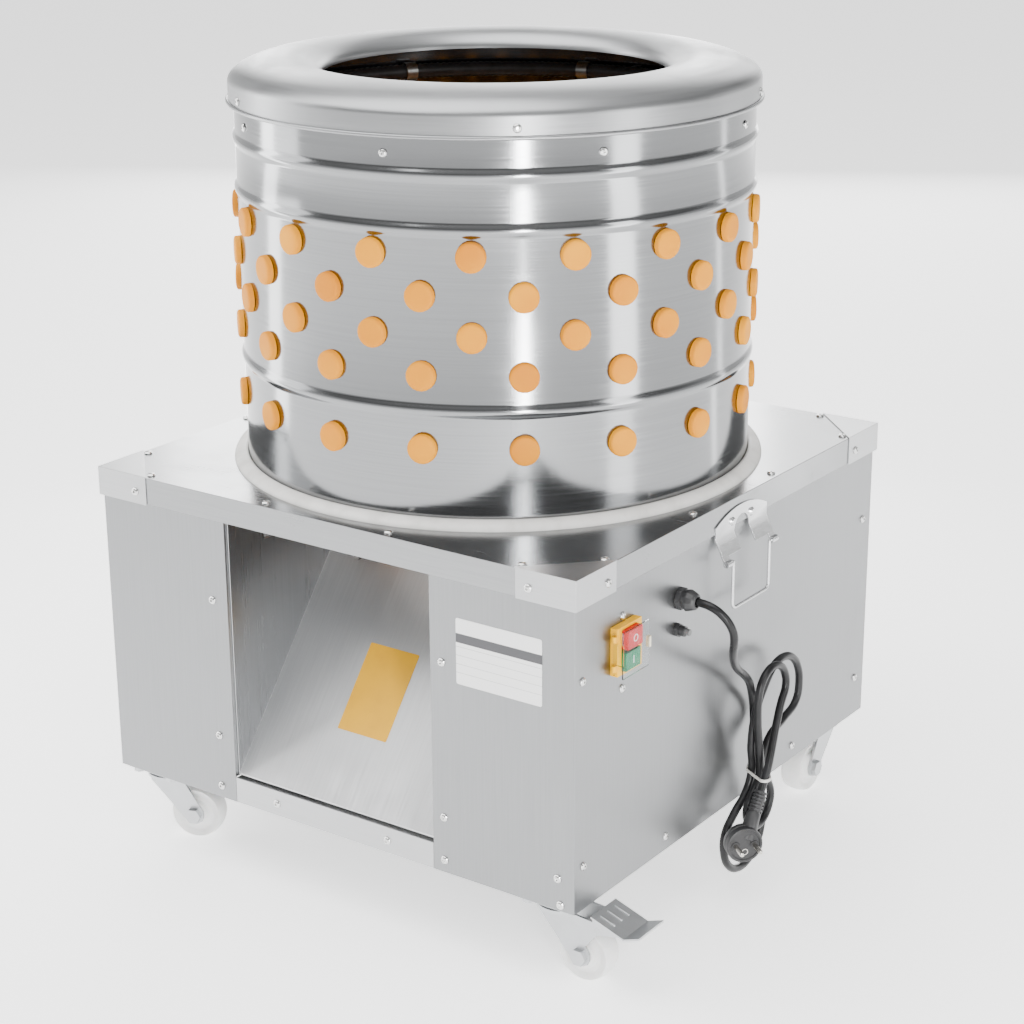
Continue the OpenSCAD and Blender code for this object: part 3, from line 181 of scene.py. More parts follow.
cord_pvc = finish("cord_pvc", moulded_skin, {"Tone": (0.006, 0.006, 0.0065, 1),
    "Blotch": (0.012, 0.012, 0.013, 1), "Gloss": 0.3, "Peel": 0.12, "Fineness": 700.0},
    Specular_IOR_Level=0.3)
lead_points = [(302, -107, 332), (306, -107, 332), (313.8, -106.7, 331), (321, -105.8, 328.2),
    (327.2, -104.4, 323.6), (332, -102.5, 317.7), (335, -100.3, 310.8), (336, -98, 303.4),
    (335, -95.7, 296), (331.3, -90.3, 283.9), (327.5, -82.7, 273.3), (323.6, -73.3, 264),
    (319.6, -62.5, 255.6), (315.7, -50.8, 247.8), (311.8, -38.6, 240.2), (307.9, -26.4, 232.6),
    (304.2, -14.6, 224.6), (300.5, -3.6, 215.8), (297, 6, 206), (293, 16.5, 193),
    (290, 24.5, 181), (288.5, 28.5, 170), (289.3, 28, 161), (291.8, 24.5, 152),
    (295.3, 19.5, 143), (297, 17, 135), (297, 17, 127)]
tail_points = [(315.8, 34, 183), (317.5, 24, 168), (319.5, 14.5, 152.5), (321.5, 5.5, 138),
    (322.5, -1.5, 126), (322.5, -7.7, 116.5), (322.5, -13.3, 108.2)]
cord_r = 0.004
waist = Vector((297, 11, 119))
waist_half, run_step, loop_rings, tail_ring = 6, 4.6, 12, 9
loops = [(-104, 40, 14), (116, 36, 34), (-60, 26, 4), (108, 25, 7)]


def hank_place(loop, ring):
    """Place of one ring of a loop: legs drawn in at the waist, a round tip, and a tilt."""
    reach, wide, tilt = loops[loop]
    up = math.copysign(1, reach)
    straight = abs(reach) - wide
    side = (1 if loop % 2 == 0 else -1) * (1 if ring <= loop_rings / 2 else -1)
    leg = loop_rings / 4
    far = min(ring, loop_rings - ring)
    bend = math.radians(90 * max(far - leg, 0) / leg)
    ease = (1 - math.cos(math.pi * min(far / leg, 1))) / 2
    turn = math.radians(tilt * ease)
    y = side * (waist_half + (wide - waist_half) * ease - wide * (1 - math.cos(bend)))
    z = up * (straight * min(far / leg, 1) + wide * math.sin(bend))
    return waist + Vector((run_step * (loop + ring / loop_rings),
        y * math.cos(turn) + z * math.sin(turn), z * math.cos(turn) - y * math.sin(turn)))


cord_points = [Vector(p) for p in lead_points]
for loop in range(3):
    cord_points += [hank_place(loop, ring) for ring in range(loop_rings)]
cord_points += [hank_place(3, ring) for ring in range(tail_ring + 1)]
cord_points += [Vector(p) for p in tail_points]
cord_curve = bpy.data.curves.new("mains_cord", "CURVE")
cord_curve.dimensions = "3D"
cord_curve.bevel_depth = cord_r
cord_curve.bevel_resolution = 5
cord_curve.use_fill_caps = True
cord_curve.resolution_u = 5
cord_line = cord_curve.splines.new("BEZIER")
cord_line.bezier_points.add(len(cord_points) - 1)
for knot, place in zip(cord_line.bezier_points, cord_points):
    knot.co = place / 1000
    knot.handle_left_type = knot.handle_right_type = "AUTO"
mains_cord = bpy.data.objects.new("mains_cord", cord_curve)
bpy.context.scene.collection.objects.link(mains_cord)
cord_curve.materials.append(cord_pvc)
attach(mains_cord, "cabinet")
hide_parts("cord_lead", "cord_hank")


# Plug on the cord's end. A round moulded plug, black, with a ribbed neck that keeps the cord
# from kinking, two nickelled pins and the hole of its earth contact in a recessed face.
def outline_of(bm, points):
    """A row of points and edges, radius along X and height along Z, in millimetres."""
    verts = [bm.verts.new((p[0], 0, p[1])) for p in points]
    edges = [bm.edges.new(pair) for pair in zip(verts, verts[1:])]
    return verts + edges


def turned(points, steps, closed=False, place=Matrix()):
    """A round body turned about Z from its outline, and then put in its place."""
    bm = bmesh.new()
    points = list(points) + ([points[0]] if closed else [])
    bmesh.ops.spin(bm, geom=outline_of(bm, points), cent=(0, 0, 0), axis=(0, 0, 1),
        angle=2 * math.pi, steps=steps, use_merge=True)
    bmesh.ops.remove_doubles(bm, verts=bm.verts, dist=0.0005)
    bmesh.ops.recalc_face_normals(bm, faces=bm.faces)
    bmesh.ops.transform(bm, matrix=place, verts=bm.verts)
    return bm


def add_copy(bm, shape, place):
    """Adds a copy of a shape to a mesh, moved to its place."""
    copy = bpy.data.meshes.new("copy")
    shape.to_mesh(copy)
    copy.transform(place)
    bm.from_mesh(copy)
    bpy.data.meshes.remove(copy)


def made(name, bm, material, body, *nodes, sharp=32, broken=0):
    """The finished piece in metres: smooth but for its sharp edges, which may be broken."""
    bmesh.ops.transform(bm, matrix=Matrix.Scale(0.001, 4), verts=bm.verts)
    for face in bm.faces:
        face.smooth = True
    for edge in bm.edges:
        edge.smooth = edge.is_manifold and edge.calc_face_angle(0) < math.radians(sharp)
    data = bpy.data.meshes.new(name)
    bm.to_mesh(data)
    bm.free()
    data.materials.append(material)
    piece = bpy.data.objects.new(name, data)
    bpy.context.scene.collection.objects.link(piece)
    if broken:
        edges = piece.modifiers.new("broken_edges", "BEVEL")
        edges.width = broken / 1000
        edges.segments = 2
        edges.limit_method = "ANGLE"
        edges.angle_limit = math.radians(sharp)
        edges.harden_normals = True
    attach(piece, body)
    if nodes:
        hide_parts(*nodes)
    return piece


plug_black = finish("plug_black", moulded_skin, {"Tone": (0.016, 0.016, 0.017, 1),
    "Blotch": (0.03, 0.03, 0.031, 1), "Gloss": 0.42, "Peel": 0.25, "Fineness": 1400.0})
cord_end = Vector(tail_points[-1])
plug_lean, plug_turn, plug_reach = math.radians(-34), math.radians(-40), 53
plug_r, pin_r, pin_side = 18.5, 2.4, 9.5
relief_line, rib_pitch = [(0, 0), (6.5, 0)], 3.4
for rib in range(6):
    low = rib_pitch * rib
    relief_line += [(6.7, low + 0.4), (6.7, low + 2.2), (5.5, low + 2.4), (5.5, low + 3.2)]
relief_line += [(7, 22.4), (7.6, 33), (8.5, 45), (8.2, 49), (0, 49)]
plug_mesh = turned(relief_line, 32, place=Matrix.Translation(cord_end)
    @ Matrix.Rotation(plug_lean, 4, "X") @ Matrix.Rotation(math.pi, 4, "X"))
plug_place = (Matrix.Translation(cord_end + plug_reach
        * Vector((-0.03, math.sin(plug_lean), -math.cos(plug_lean))))
    @ Matrix.Rotation(plug_turn, 4, "Z") @ Matrix.Rotation(math.pi / 2, 4, "Y"))
plug_disc = turned([(0, -9), (plug_r - 3.4, -9), (plug_r - 1.6, -8.2), (plug_r - 0.4, -6.4),
    (plug_r, -4), (plug_r, -1.6), (plug_r - 0.8, -1), (plug_r - 0.8, 0.2), (plug_r, 0.8),
    (plug_r, 4.6), (plug_r - 0.5, 6), (plug_r - 1.5, 6.5), (plug_r - 3, 6.3),
    (plug_r - 3.5, 5.4), (0, 5.4)], 48)
add_copy(plug_mesh, plug_disc, plug_place)
plug_boss = turned([(0, 5.2), (4.4, 5.2), (4.4, 5.9), (3.9, 6.4), (0, 6.4)], 24)
for side in (-pin_side, pin_side):
    add_copy(plug_mesh, plug_boss, plug_place @ Matrix.Translation((0, side, 0)))
plug_body = made("plug_body", plug_mesh, plug_black, "cabinet", "mains_plug")

# Pins and the mouth of the earth contact, turned from brass and nickelled. The plug's body
# is moulded round them, so they stand straight out of its recessed face.
pin_nickel = finish("pin_nickel", moulded_skin, {"Tone": (0.62, 0.60, 0.56, 1),
    "Blotch": (0.5, 0.48, 0.44, 1), "Gloss": 0.24, "Peel": 0.08, "Fineness": 2200.0}, Metallic=1.0)
pin_shape = turned([(0, 6), (pin_r, 6), (pin_r, 23.4), (pin_r - 0.5, 24.5), (pin_r - 1.3, 25),
    (0, 25)], 24)
pin_mesh = bmesh.new()
for side in (-pin_side, pin_side):
    add_copy(pin_mesh, pin_shape, plug_place @ Matrix.Translation((0, side, 0)))
earth_mouth = turned([(2.5, 5.1), (3.3, 5.1), (3.3, 5.9), (2.5, 5.9)], 24, closed=True)
add_copy(pin_mesh, earth_mouth, plug_place @ Matrix.Translation((7, 0, 0)))
plug_pins = made("plug_pins", pin_mesh, pin_nickel, "cabinet", "mains_plug")


# Tie round the hank's waist. A thin band of pale plastic, drawn tight round all the runs
# of the lead, so that the loops hang together.
def dressed(node, material, body="cabinet", broken=0.4, sharp=32):
    """A copy of a solid with its triangles joined, and its sharp edges broken as made."""
    bm = bmesh.new()
    bm.from_mesh(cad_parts[node].data)
    bmesh.ops.transform(bm, matrix=Matrix.Scale(1000, 4), verts=bm.verts)
    bmesh.ops.remove_doubles(bm, verts=bm.verts, dist=0.002)
    bmesh.ops.dissolve_limit(bm, angle_limit=math.radians(0.4), verts=bm.verts, edges=bm.edges)
    return made(node + "_finished", bm, material, body, node, sharp=sharp, broken=broken)


tie_plastic = finish("tie_plastic", moulded_skin, {"Tone": (0.62, 0.61, 0.57, 1),
    "Blotch": (0.5, 0.49, 0.45, 1), "Gloss": 0.38, "Peel": 0.15, "Fineness": 1200.0})
tie_band = dressed("cord_tie", tie_plastic, broken=0.2)

# Frame. Angle bars welded into two rings with posts between them, and channel bars that
# carry the drive. Zinc coated steel with a dull face. All the steels share one grain: fine
# lines that run one way, smudges, and a slow wave of the sheet.
brushed_grain, grain_in, grain_out = effect("brushed_grain",
    [("Tone", "Color", (0.6, 0.6, 0.6, 1)), ("Stretch", "Vector", (1.0, 1.0, 1.0)),
        ("Gloss", "Float", 0.25), ("Smudges", "Float", 0.5), ("Bump", "Float", 0.1),
        ("Waviness", "Float", 0.0)],
    [("Colour", "Color"), ("Roughness", "Float"), ("Normal", "Vector")])
grain_place = wire(brushed_grain, "ShaderNodeTexCoord", {}, {}).outputs["Object"]
grain_lines = wire(brushed_grain, "ShaderNodeVectorMath", {"operation": "MULTIPLY"},
    {0: grain_place, 1: grain_in["Stretch"]})
grain_noise = wire(brushed_grain, "ShaderNodeTexNoise", {},
    {"Vector": grain_lines.outputs[0], "Scale": 1.0, "Detail": 5.0, "Roughness": 0.65})
smudge_noise = wire(brushed_grain, "ShaderNodeTexNoise", {},
    {"Vector": grain_place, "Scale": 9.0, "Detail": 6.0, "Roughness": 0.6, "Distortion": 0.4})
wave_noise = wire(brushed_grain, "ShaderNodeTexNoise", {},
    {"Vector": grain_place, "Scale": 5.0, "Detail": 1.0})
grain_tone = wire(brushed_grain, "ShaderNodeMapRange", {},
    {0: grain_noise.outputs[0], 1: 0.3, 2: 0.7, 3: 0.93, 4: 1.04})
grain_colour = wire(brushed_grain, "ShaderNodeMix", {"data_type": "RGBA", "blend_type": "MULTIPLY"},
    {0: 1.0, 6: grain_in["Tone"], 7: grain_tone.outputs[0]})
smudge_mask = wire(brushed_grain, "ShaderNodeMapRange", {},
    {0: smudge_noise.outputs[0], 1: 0.5, 2: 0.75, 3: 0.0, 4: 0.16})
smudge_share = wire(brushed_grain, "ShaderNodeMath", {"operation": "MULTIPLY"},
    {0: smudge_mask.outputs[0], 1: grain_in["Smudges"]})
grain_uneven = wire(brushed_grain, "ShaderNodeMapRange", {},
    {0: grain_noise.outputs[0], 1: 0.3, 2: 0.7, 3: -0.03, 4: 0.05})
grain_rough = wire(brushed_grain, "ShaderNodeMath", {"operation": "ADD"},
    {0: grain_in["Gloss"], 1: grain_uneven.outputs[0]})
grain_smudged = wire(brushed_grain, "ShaderNodeMath", {"operation": "ADD", "use_clamp": True},
    {0: grain_rough.outputs[0], 1: smudge_share.outputs[0]})
wave_bump = wire(brushed_grain, "ShaderNodeBump", {},
    {"Strength": grain_in["Waviness"], "Distance": 0.004, "Height": wave_noise.outputs[0]})
grain_bump = wire(brushed_grain, "ShaderNodeBump", {},
    {"Strength": grain_in["Bump"], "Distance": 0.0002, "Height": grain_noise.outputs[0],
        "Normal": wave_bump.outputs[0]})
brushed_grain.links.new(grain_colour.outputs[2], grain_out["Colour"])
brushed_grain.links.new(grain_smudged.outputs[0], grain_out["Roughness"])
brushed_grain.links.new(grain_bump.outputs[0], grain_out["Normal"])

mill_steel = finish("mill_steel", brushed_grain, {"Tone": (0.46, 0.46, 0.45, 1),
    "Stretch": (160.0, 160.0, 40.0), "Gloss": 0.42, "Smudges": 1.0, "Bump": 0.3}, Metallic=1.0)
dressed("frame", mill_steel, broken=0.5)

# Panels. Thin stainless sheet with a bright cold-rolled face, cut, drilled and folded at the
# chute, and screwed to the frame. They mirror the room, a little waved.
panel_steel = finish("panel_steel", brushed_grain, {"Tone": (0.27, 0.275, 0.28, 1),
    "Stretch": (500.0, 500.0, 9.0), "Gloss": 0.33, "Smudges": 0.5, "Bump": 0.04,
    "Waviness": 0.05}, Metallic=1.0)
for panel in ("front_panel_left", "front_panel_right", "side_panel_left", "side_panel_right",
        "rear_panel"):
    dressed(panel, panel_steel, broken=0.3)


# Blank rating plate. A thin white plate stuck to the right front panel, with a dark band
# near its head and fine ruled lines below. Nothing is written on it.
def sheet_piece(wide, tall, thick, corner):
    """A flat plate centred on the origin, its face up, with rounded corners."""
    bm = bmesh.new()
    bmesh.ops.create_cube(bm, size=1, matrix=Matrix.Diagonal((wide, tall, thick, 1)))
    upright = [e for e in bm.edges if abs(e.verts[0].co.z - e.verts[1].co.z) > thick / 2]
    bmesh.ops.bevel(bm, geom=upright, offset=corner, segments=5, profile=0.5,
        affect="EDGES", material=-1)
    return bm


plate_white = bpy.data.materials.new("plate_white")
plate_white.use_nodes = True
plate_tree = plate_white.node_tree
band_z, band_half, rule_foot, rule_pitch, rule_half = 0.3215, 0.0045, 0.2795, 0.0084, 0.00025
field_z, field_half = 0.3005, 0.0130
plate_place = wire(plate_tree, "ShaderNodeTexCoord", {}, {}).outputs["Object"]
plate_axes = wire(plate_tree, "ShaderNodeSeparateXYZ", {}, {0: plate_place})
plate_band = wire(plate_tree, "ShaderNodeMath", {"operation": "COMPARE"},
    {0: plate_axes.outputs["Z"], 1: band_z, 2: band_half})
plate_rise = wire(plate_tree, "ShaderNodeMath", {"operation": "ADD"},
    {0: plate_axes.outputs["Z"], 1: -rule_foot})
plate_rules = wire(plate_tree, "ShaderNodeMath", {"operation": "PINGPONG"},
    {0: plate_rise.outputs[0], 1: rule_pitch / 2})
plate_line = wire(plate_tree, "ShaderNodeMath", {"operation": "LESS_THAN"},
    {0: plate_rules.outputs[0], 1: rule_half})
plate_field = wire(plate_tree, "ShaderNodeMath", {"operation": "COMPARE"},
    {0: plate_axes.outputs["Z"], 1: field_z, 2: field_half})
plate_lined = wire(plate_tree, "ShaderNodeMath", {"operation": "MULTIPLY"},
    {0: plate_line.outputs[0], 1: plate_field.outputs[0]})
plate_print = wire(plate_tree, "ShaderNodeMix", {"data_type": "RGBA"},
    {0: plate_lined.outputs[0], 6: (0.80, 0.80, 0.79, 1), 7: (0.45, 0.45, 0.45, 1)})
plate_dark = wire(plate_tree, "ShaderNodeMix", {"data_type": "RGBA"},
    {0: plate_band.outputs[0], 6: plate_print.outputs[2], 7: (0.05, 0.05, 0.055, 1)})
plate_grain = wire(plate_tree, "ShaderNodeTexNoise", {},
    {"Vector": plate_place, "Scale": 600.0, "Detail": 3.0})
plate_rough = wire(plate_tree, "ShaderNodeMapRange", {},
    {0: plate_grain.outputs[0], 3: 0.28, 4: 0.42})
plate_shader = plate_tree.nodes["Principled BSDF"]
plate_tree.links.new(plate_dark.outputs[2], plate_shader.inputs["Base Color"])
plate_tree.links.new(plate_rough.outputs[0], plate_shader.inputs["Roughness"])
rating_place = Matrix.Translation((200.5, -280.2, 308.5)) @ Matrix.Rotation(math.pi / 2, 4, "X")
rating_mesh = sheet_piece(94, 64, 0.5, 2)
bmesh.ops.transform(rating_mesh, verts=rating_mesh.verts, matrix=rating_place)
made("rating_plate_blank", rating_mesh, plate_white, "cabinet")

# Sill under the chute. A light satin strip of the panels' sheet, bent back at its top edge,
# that stands between the feet of the two front panels.
satin_steel = finish("satin_steel", brushed_grain, {"Tone": (0.46, 0.465, 0.47, 1),
    "Stretch": (9.0, 600.0, 600.0), "Gloss": 0.3, "Smudges": 0.4, "Bump": 0.12,
    "Waviness": 0.02}, Metallic=1.0)
dressed("front_sill", satin_steel, broken=0.3)

# Lid and corner caps. The lid is one sheet with its edges turned down and a round opening
# for the drum. Bent caps close its open corners, each with two screws.
lid_steel = finish("lid_steel", brushed_grain, {"Tone": (0.29, 0.295, 0.30, 1),
    "Stretch": (12.0, 650.0, 650.0), "Gloss": 0.2, "Smudges": 0.6, "Bump": 0.08,
    "Waviness": 0.04}, Metallic=1.0)
dressed("lid", lid_steel, broken=0.6)
dressed("corner_caps", satin_steel, broken=0.5)

# Chute. A bright sheet that slopes from the drum's outlet to the sill. Its two side walls are
# the same sheet in a much darker copy of its steel: painted shade for the shade inside the
# chute. A bare yellow plate is stuck to the slope.
chute_steel = finish("chute_steel", brushed_grain, {"Tone": (0.72, 0.725, 0.73, 1),
    "Stretch": (500.0, 12.0, 12.0), "Gloss": 0.36, "Smudges": 0.7, "Bump": 0.06,
    "Waviness": 0.08}, Metallic=1.0)
chute_wall_painted_shade = finish("chute_wall_painted_shade", brushed_grain, {"Tone": (0.21, 0.215, 0.22, 1),
    "Stretch": (12.0, 700.0, 6.0), "Gloss": 0.28, "Smudges": 0.4, "Bump": 0.015,
    "Waviness": 0.02}, Metallic=1.0)
chute_piece = dressed("chute", chute_steel, broken=0.3)
chute_piece.data.materials.append(chute_wall_painted_shade)
# Faces that look sideways, the side walls, take the darker copy: painted shade, not a finish of
# their own.
facing_sideways = 0.9
for face in chute_piece.data.polygons:
    if abs(face.normal.x) > facing_sideways:
        face.material_index = 1
label_yellow = finish("label_yellow", moulded_skin, {"Tone": (0.78, 0.40, 0.002, 1),
    "Blotch": (0.72, 0.36, 0.004, 1), "Gloss": 0.33, "Peel": 0.06, "Fineness": 500.0})
chute_slope = math.radians(51.83)
label_place = Matrix.Translation((0, -203.6, 202.8)) @ Matrix.Rotation(chute_slope, 4, "X")
label_mesh = sheet_piece(60, 91, 0.4, 1.5)
bmesh.ops.transform(label_mesh, verts=label_mesh.verts, matrix=label_place)
made("chute_plate_blank", label_mesh, label_yellow, "cabinet")

# Drum. A stainless sheet rolled into a cylinder, its ends lapped and spot welded, with three
# swaged beads that stiffen it. Brushed round and polished, so it draws upright streaks.
lid_z, drum_r, drum_wall, bead_out, bead_h = 403, 252, 1.5, 2.5, 13
drum_low, drum_top = lid_z - 14, lid_z + 372
bead_heights, bead_steps = (109, 274, 322.5), 8


def sheet_side(offset):
    """One face of the drum sheet from its foot up: radius and height, eased into each bead."""
    line = [(drum_r - offset, drum_low)]
    for bead in bead_heights:
        middle = lid_z + bead
        for step in range(-bead_steps, bead_steps + 1):
            share = step / bead_steps
            swell = bead_out * (0.5 + 0.5 * math.cos(math.pi * share)) ** 0.8
            line.append((drum_r - offset + swell, middle + share * (bead_h / 2 + 1)))
    return line + [(drum_r - offset, drum_top)]


drum_steel = finish("drum_steel", brushed_grain, {"Tone": (0.245, 0.25, 0.255, 1),
    "Stretch": (6.0, 6.0, 700.0), "Gloss": 0.13, "Smudges": 0.3, "Bump": 0.035,
    "Waviness": 0.05}, Metallic=1.0)
drum_mesh = turned(sheet_side(0) + sheet_side(drum_wall)[::-1], 192, closed=True)
made("drum_sheet", drum_mesh, drum_steel, "cabinet", "drum_shell", sharp=50)
lap_turn, lap_share, lap_proud, lap_t = math.radians(-51.5), math.radians(2.2), 0.7, 0.9
lap_mesh = bmesh.new()
lap_edges = outline_of(lap_mesh, sheet_side(-lap_proud))
bmesh.ops.spin(lap_mesh, geom=lap_edges, cent=(0, 0, 0), axis=(0, 0, 1), angle=lap_share, steps=4)
bmesh.ops.recalc_face_normals(lap_mesh, faces=lap_mesh.faces)
if sum(face.normal.x * face.calc_center_median().x for face in lap_mesh.faces) < 0:
    bmesh.ops.reverse_faces(lap_mesh, faces=lap_mesh.faces)
bmesh.ops.solidify(lap_mesh, geom=lap_mesh.faces[:], thickness=lap_t)
bmesh.ops.transform(lap_mesh, verts=lap_mesh.verts, matrix=Matrix.Rotation(lap_turn, 4, "Z"))
made("drum_lap_seam", lap_mesh, drum_steel, "cabinet", sharp=50)

# Pan and foot ring. The pan closes the drum's foot under the feather plate, but for the
# chute's outlet. A pale rubber ring seals the drum to the lid.
dressed("drum_pan", chute_steel, broken=0.3, sharp=40)
foot_rubber = finish("foot_rubber", moulded_skin, {"Tone": (0.72, 0.71, 0.68, 1),
    "Blotch": (0.60, 0.59, 0.56, 1), "Gloss": 0.5, "Peel": 0.3, "Fineness": 500.0})
ring_in, ring_w, ring_h, ring_steps = drum_r + 0.3, 14, 8, 8
ring_line = [(ring_in, lid_z), (ring_in, lid_z + ring_h - 1.2), (ring_in + 1, lid_z + ring_h)]
for step in range(1, ring_steps + 1):
    lean = math.radians(90 - 90 * step / ring_steps)
    ring_line.append((ring_in + 1 + (ring_w - 1) * math.cos(lean),
        lid_z + ring_h * max(math.sin(lean), 0.08)))
ring_line.append((ring_in + ring_w, lid_z))
made("foot_ring", turned(ring_line, 160, closed=True), foot_rubber, "cabinet",
    "drum_foot_ring", sharp=60)

# Collar. A spun stainless ring over the drum's rim: a straight skirt with a rolled lip, a
# wide round shoulder, and an inner edge that is rolled down into the mouth.
collar_r, collar_low, skirt_h, dome_h, crest_r = 257, 759.5, 17.5, 21, 200
mouth_r, mouth_drop, collar_t, lip_r = 167, 18, 1.5, 2
dome_z, dome_steps, inner_steps = collar_low + skirt_h, 24, 18


def collar_side(offset):
    """One face of the collar sheet, from the foot of its skirt over to the mouth."""
    line = [(collar_r - offset, collar_low)]
    for step in range(dome_steps + 1):
        lean = math.radians(90 * step / dome_steps)
        line.append((crest_r + (collar_r - crest_r - offset) * math.cos(lean),
            dome_z + (dome_h - offset) * math.sin(lean)))
    for step in range(1, inner_steps + 1):
        lean = math.radians(90 + 90 * step / inner_steps)
        line.append((crest_r + (crest_r - mouth_r - offset) * math.cos(lean),
            dome_z + dome_h - mouth_drop + (mouth_drop - offset) * math.sin(lean)))
    return line


collar_steel = finish("collar_steel", brushed_grain, {"Tone": (0.31, 0.315, 0.32, 1),
    "Stretch": (14.0, 14.0, 500.0), "Gloss": 0.36, "Smudges": 0.5, "Bump": 0.1,
    "Waviness": 0.02}, Metallic=1.0)
collar_mesh = turned(collar_side(0) + collar_side(collar_t)[::-1], 160, closed=True)
lip_middle = collar_r + lip_r - collar_t
lip_line = [(lip_middle + lip_r * math.cos(math.radians(a)),
    collar_low + lip_r * math.sin(math.radians(a))) for a in range(0, 360, 30)]
add_copy(collar_mesh, turned(lip_line, 160, closed=True), Matrix())
made("collar_spun", collar_mesh, collar_steel, "cabinet", "collar", sharp=50)

# Spray ring. A ribbed black hose under the collar that rinses the birds, its tail led out
# through the drum's rear to the water inlet. Bent steel clips hold it to the drum's wall.
pipe_r, pipe_z, hose_r, hose_l, hose_end = 8, 748.5, 7, 34, 274
clip_t, pipe_gap, ribs_round, groove = 1.5, 0.3, 228, 0.9
pipe_ring_r = drum_r - drum_wall - clip_t - pipe_gap - pipe_r
hose_plastic = finish("hose_plastic", moulded_skin, {"Tone": (0.035, 0.035, 0.037, 1),
    "Blotch": (0.06, 0.06, 0.062, 1), "Gloss": 0.42, "Peel": 0.2, "Fineness": 900.0})
pipe_line = [(pipe_ring_r + pipe_r * math.cos(math.radians(a)),
    pipe_z + pipe_r * math.sin(math.radians(a))) for a in range(0, 360, 30)]
pipe_mesh = turned(pipe_line, 2 * ribs_round, closed=True)
for vert in pipe_mesh.verts:
    step = round(math.degrees(math.atan2(vert.co.y, vert.co.x)) / 360 * 2 * ribs_round)
    if step % 2:
        round_at = Vector((vert.co.x, vert.co.y, 0)).normalized() * pipe_ring_r
        round_at.z = pipe_z
        vert.co = round_at + (vert.co - round_at) * groove
tail_line = [(0, 0), (hose_r, 0), (hose_r, 12.6), (hose_r + 3, 12.6), (hose_r + 3, 16),
    (hose_r, 16), (hose_r, hose_l - 0.6), (hose_r - 0.6, hose_l), (hose_r - 2, hose_l),
    (hose_r - 2, 12), (0, 12)]
add_copy(pipe_mesh, turned(tail_line, 32), Matrix.Translation((0, hose_end - hose_l, pipe_z))
    @ Matrix.Rotation(-math.pi / 2, 4, "X"))
made("spray_hose", pipe_mesh, hose_plastic, "cabinet", "spray_ring", sharp=40)
clip_steel = finish("clip_steel", brushed_grain, {"Tone": (0.42, 0.42, 0.41, 1),
    "Stretch": (300.0, 300.0, 60.0), "Gloss": 0.34, "Smudges": 0.8, "Bump": 0.2}, Metallic=1.0)
dressed("spray_clips", clip_steel, broken=0.2)

# Plucking fingers. Moulded natural rubber, orange tan: a round head outside, a neck through
# the sheet, a collar inside and a ribbed, tapered end. Seventeen in each of five rows.
finger_bloom, bloom_in, bloom_out = effect("finger_bloom",
    [("Tone", "Color", (0.8, 0.4, 0.1, 1)), ("Deep", "Color", (0.6, 0.25, 0.05, 1)),
        ("Gloss", "Float", 0.5)],
    [("Colour", "Color"), ("Roughness", "Float"), ("Normal", "Vector")])
bloom_place = wire(finger_bloom, "ShaderNodeTexCoord", {}, {}).outputs["Object"]
bloom_each = wire(finger_bloom, "ShaderNodeTexNoise", {},
    {"Vector": bloom_place, "Scale": 14.0, "Detail": 1.0})
bloom_fine = wire(finger_bloom, "ShaderNodeTexNoise", {},
    {"Vector": bloom_place, "Scale": 260.0, "Detail": 5.0, "Roughness": 0.65})
bloom_share = wire(finger_bloom, "ShaderNodeMapRange", {},
    {0: bloom_each.outputs[0], 1: 0.3, 2: 0.7, 3: 0.1, 4: 0.9})
bloom_tone = wire(finger_bloom, "ShaderNodeMix", {"data_type": "RGBA"},
    {0: bloom_share.outputs[0], 6: bloom_in["Tone"], 7: bloom_in["Deep"]})
bloom_dust = wire(finger_bloom, "ShaderNodeMapRange", {},
    {0: bloom_fine.outputs[0], 1: 0.58, 2: 0.85, 3: 0.0, 4: 0.3})
bloom_pale = wire(finger_bloom, "ShaderNodeMix", {"data_type": "RGBA"},
    {0: bloom_dust.outputs[0], 6: bloom_tone.outputs[2], 7: (0.80, 0.37, 0.02, 1)})
bloom_rough = wire(finger_bloom, "ShaderNodeMath", {"operation": "ADD", "use_clamp": True},
    {0: bloom_in["Gloss"], 1: wire(finger_bloom, "ShaderNodeMapRange", {},
        {0: bloom_fine.outputs[0], 3: -0.1, 4: 0.15}).outputs[0]})
bloom_bump = wire(finger_bloom, "ShaderNodeBump", {},
    {"Strength": 0.35, "Distance": 0.0005, "Height": bloom_fine.outputs[0]})
finger_bloom.links.new(bloom_pale.outputs[2], bloom_out["Colour"])
finger_bloom.links.new(bloom_rough.outputs[0], bloom_out["Roughness"])
finger_bloom.links.new(bloom_bump.outputs[0], bloom_out["Normal"])
finger_rubber = finish("finger_rubber", finger_bloom, {"Tone": (0.76, 0.31, 0.004, 1),
    "Deep": (0.58, 0.19, 0.002, 1), "Gloss": 0.55}, Subsurface_Weight=0.06,
    Subsurface_Scale=0.004, Specular_IOR_Level=0.15)
head_r, head_t, neck_r = 14, 6, 9.3


def rubber_finger(through, length):
    """One finger along Z: its head below z = 0, and its ribbed end above the sheet."""
    foot, tip = through + 0.1, through + 0.1 + length
    line = [(0, -head_t), (8, -head_t), (head_r - 2.4, -head_t + 0.2),
        (head_r - 1, -head_t + 0.8), (head_r - 0.3, -head_t + 1.8), (head_r - 0.1, -1),
        (head_r, -0.7), (head_r, 0), (neck_r, 0), (neck_r, foot), (neck_r + 4, foot),
        (neck_r + 4, foot + 1.6), (neck_r + 3.2, foot + 2.2), (neck_r + 0.5, foot + 6)]
    for rib in range(3):
        start = foot + 12 + rib * (length - 26) / 3
        line += [(neck_r + 0.5 - rib, start), (neck_r - 1.1 - rib, start + 1.5),
            (neck_r - 0.9 - rib, start + 3.4)]
    line += [(neck_r - 3.4, tip - 8), (neck_r - 5.0, tip - 2.6), (neck_r - 6.6, tip - 0.7),
        (neck_r - 8, tip), (0, tip)]
    return turned(line, 20)


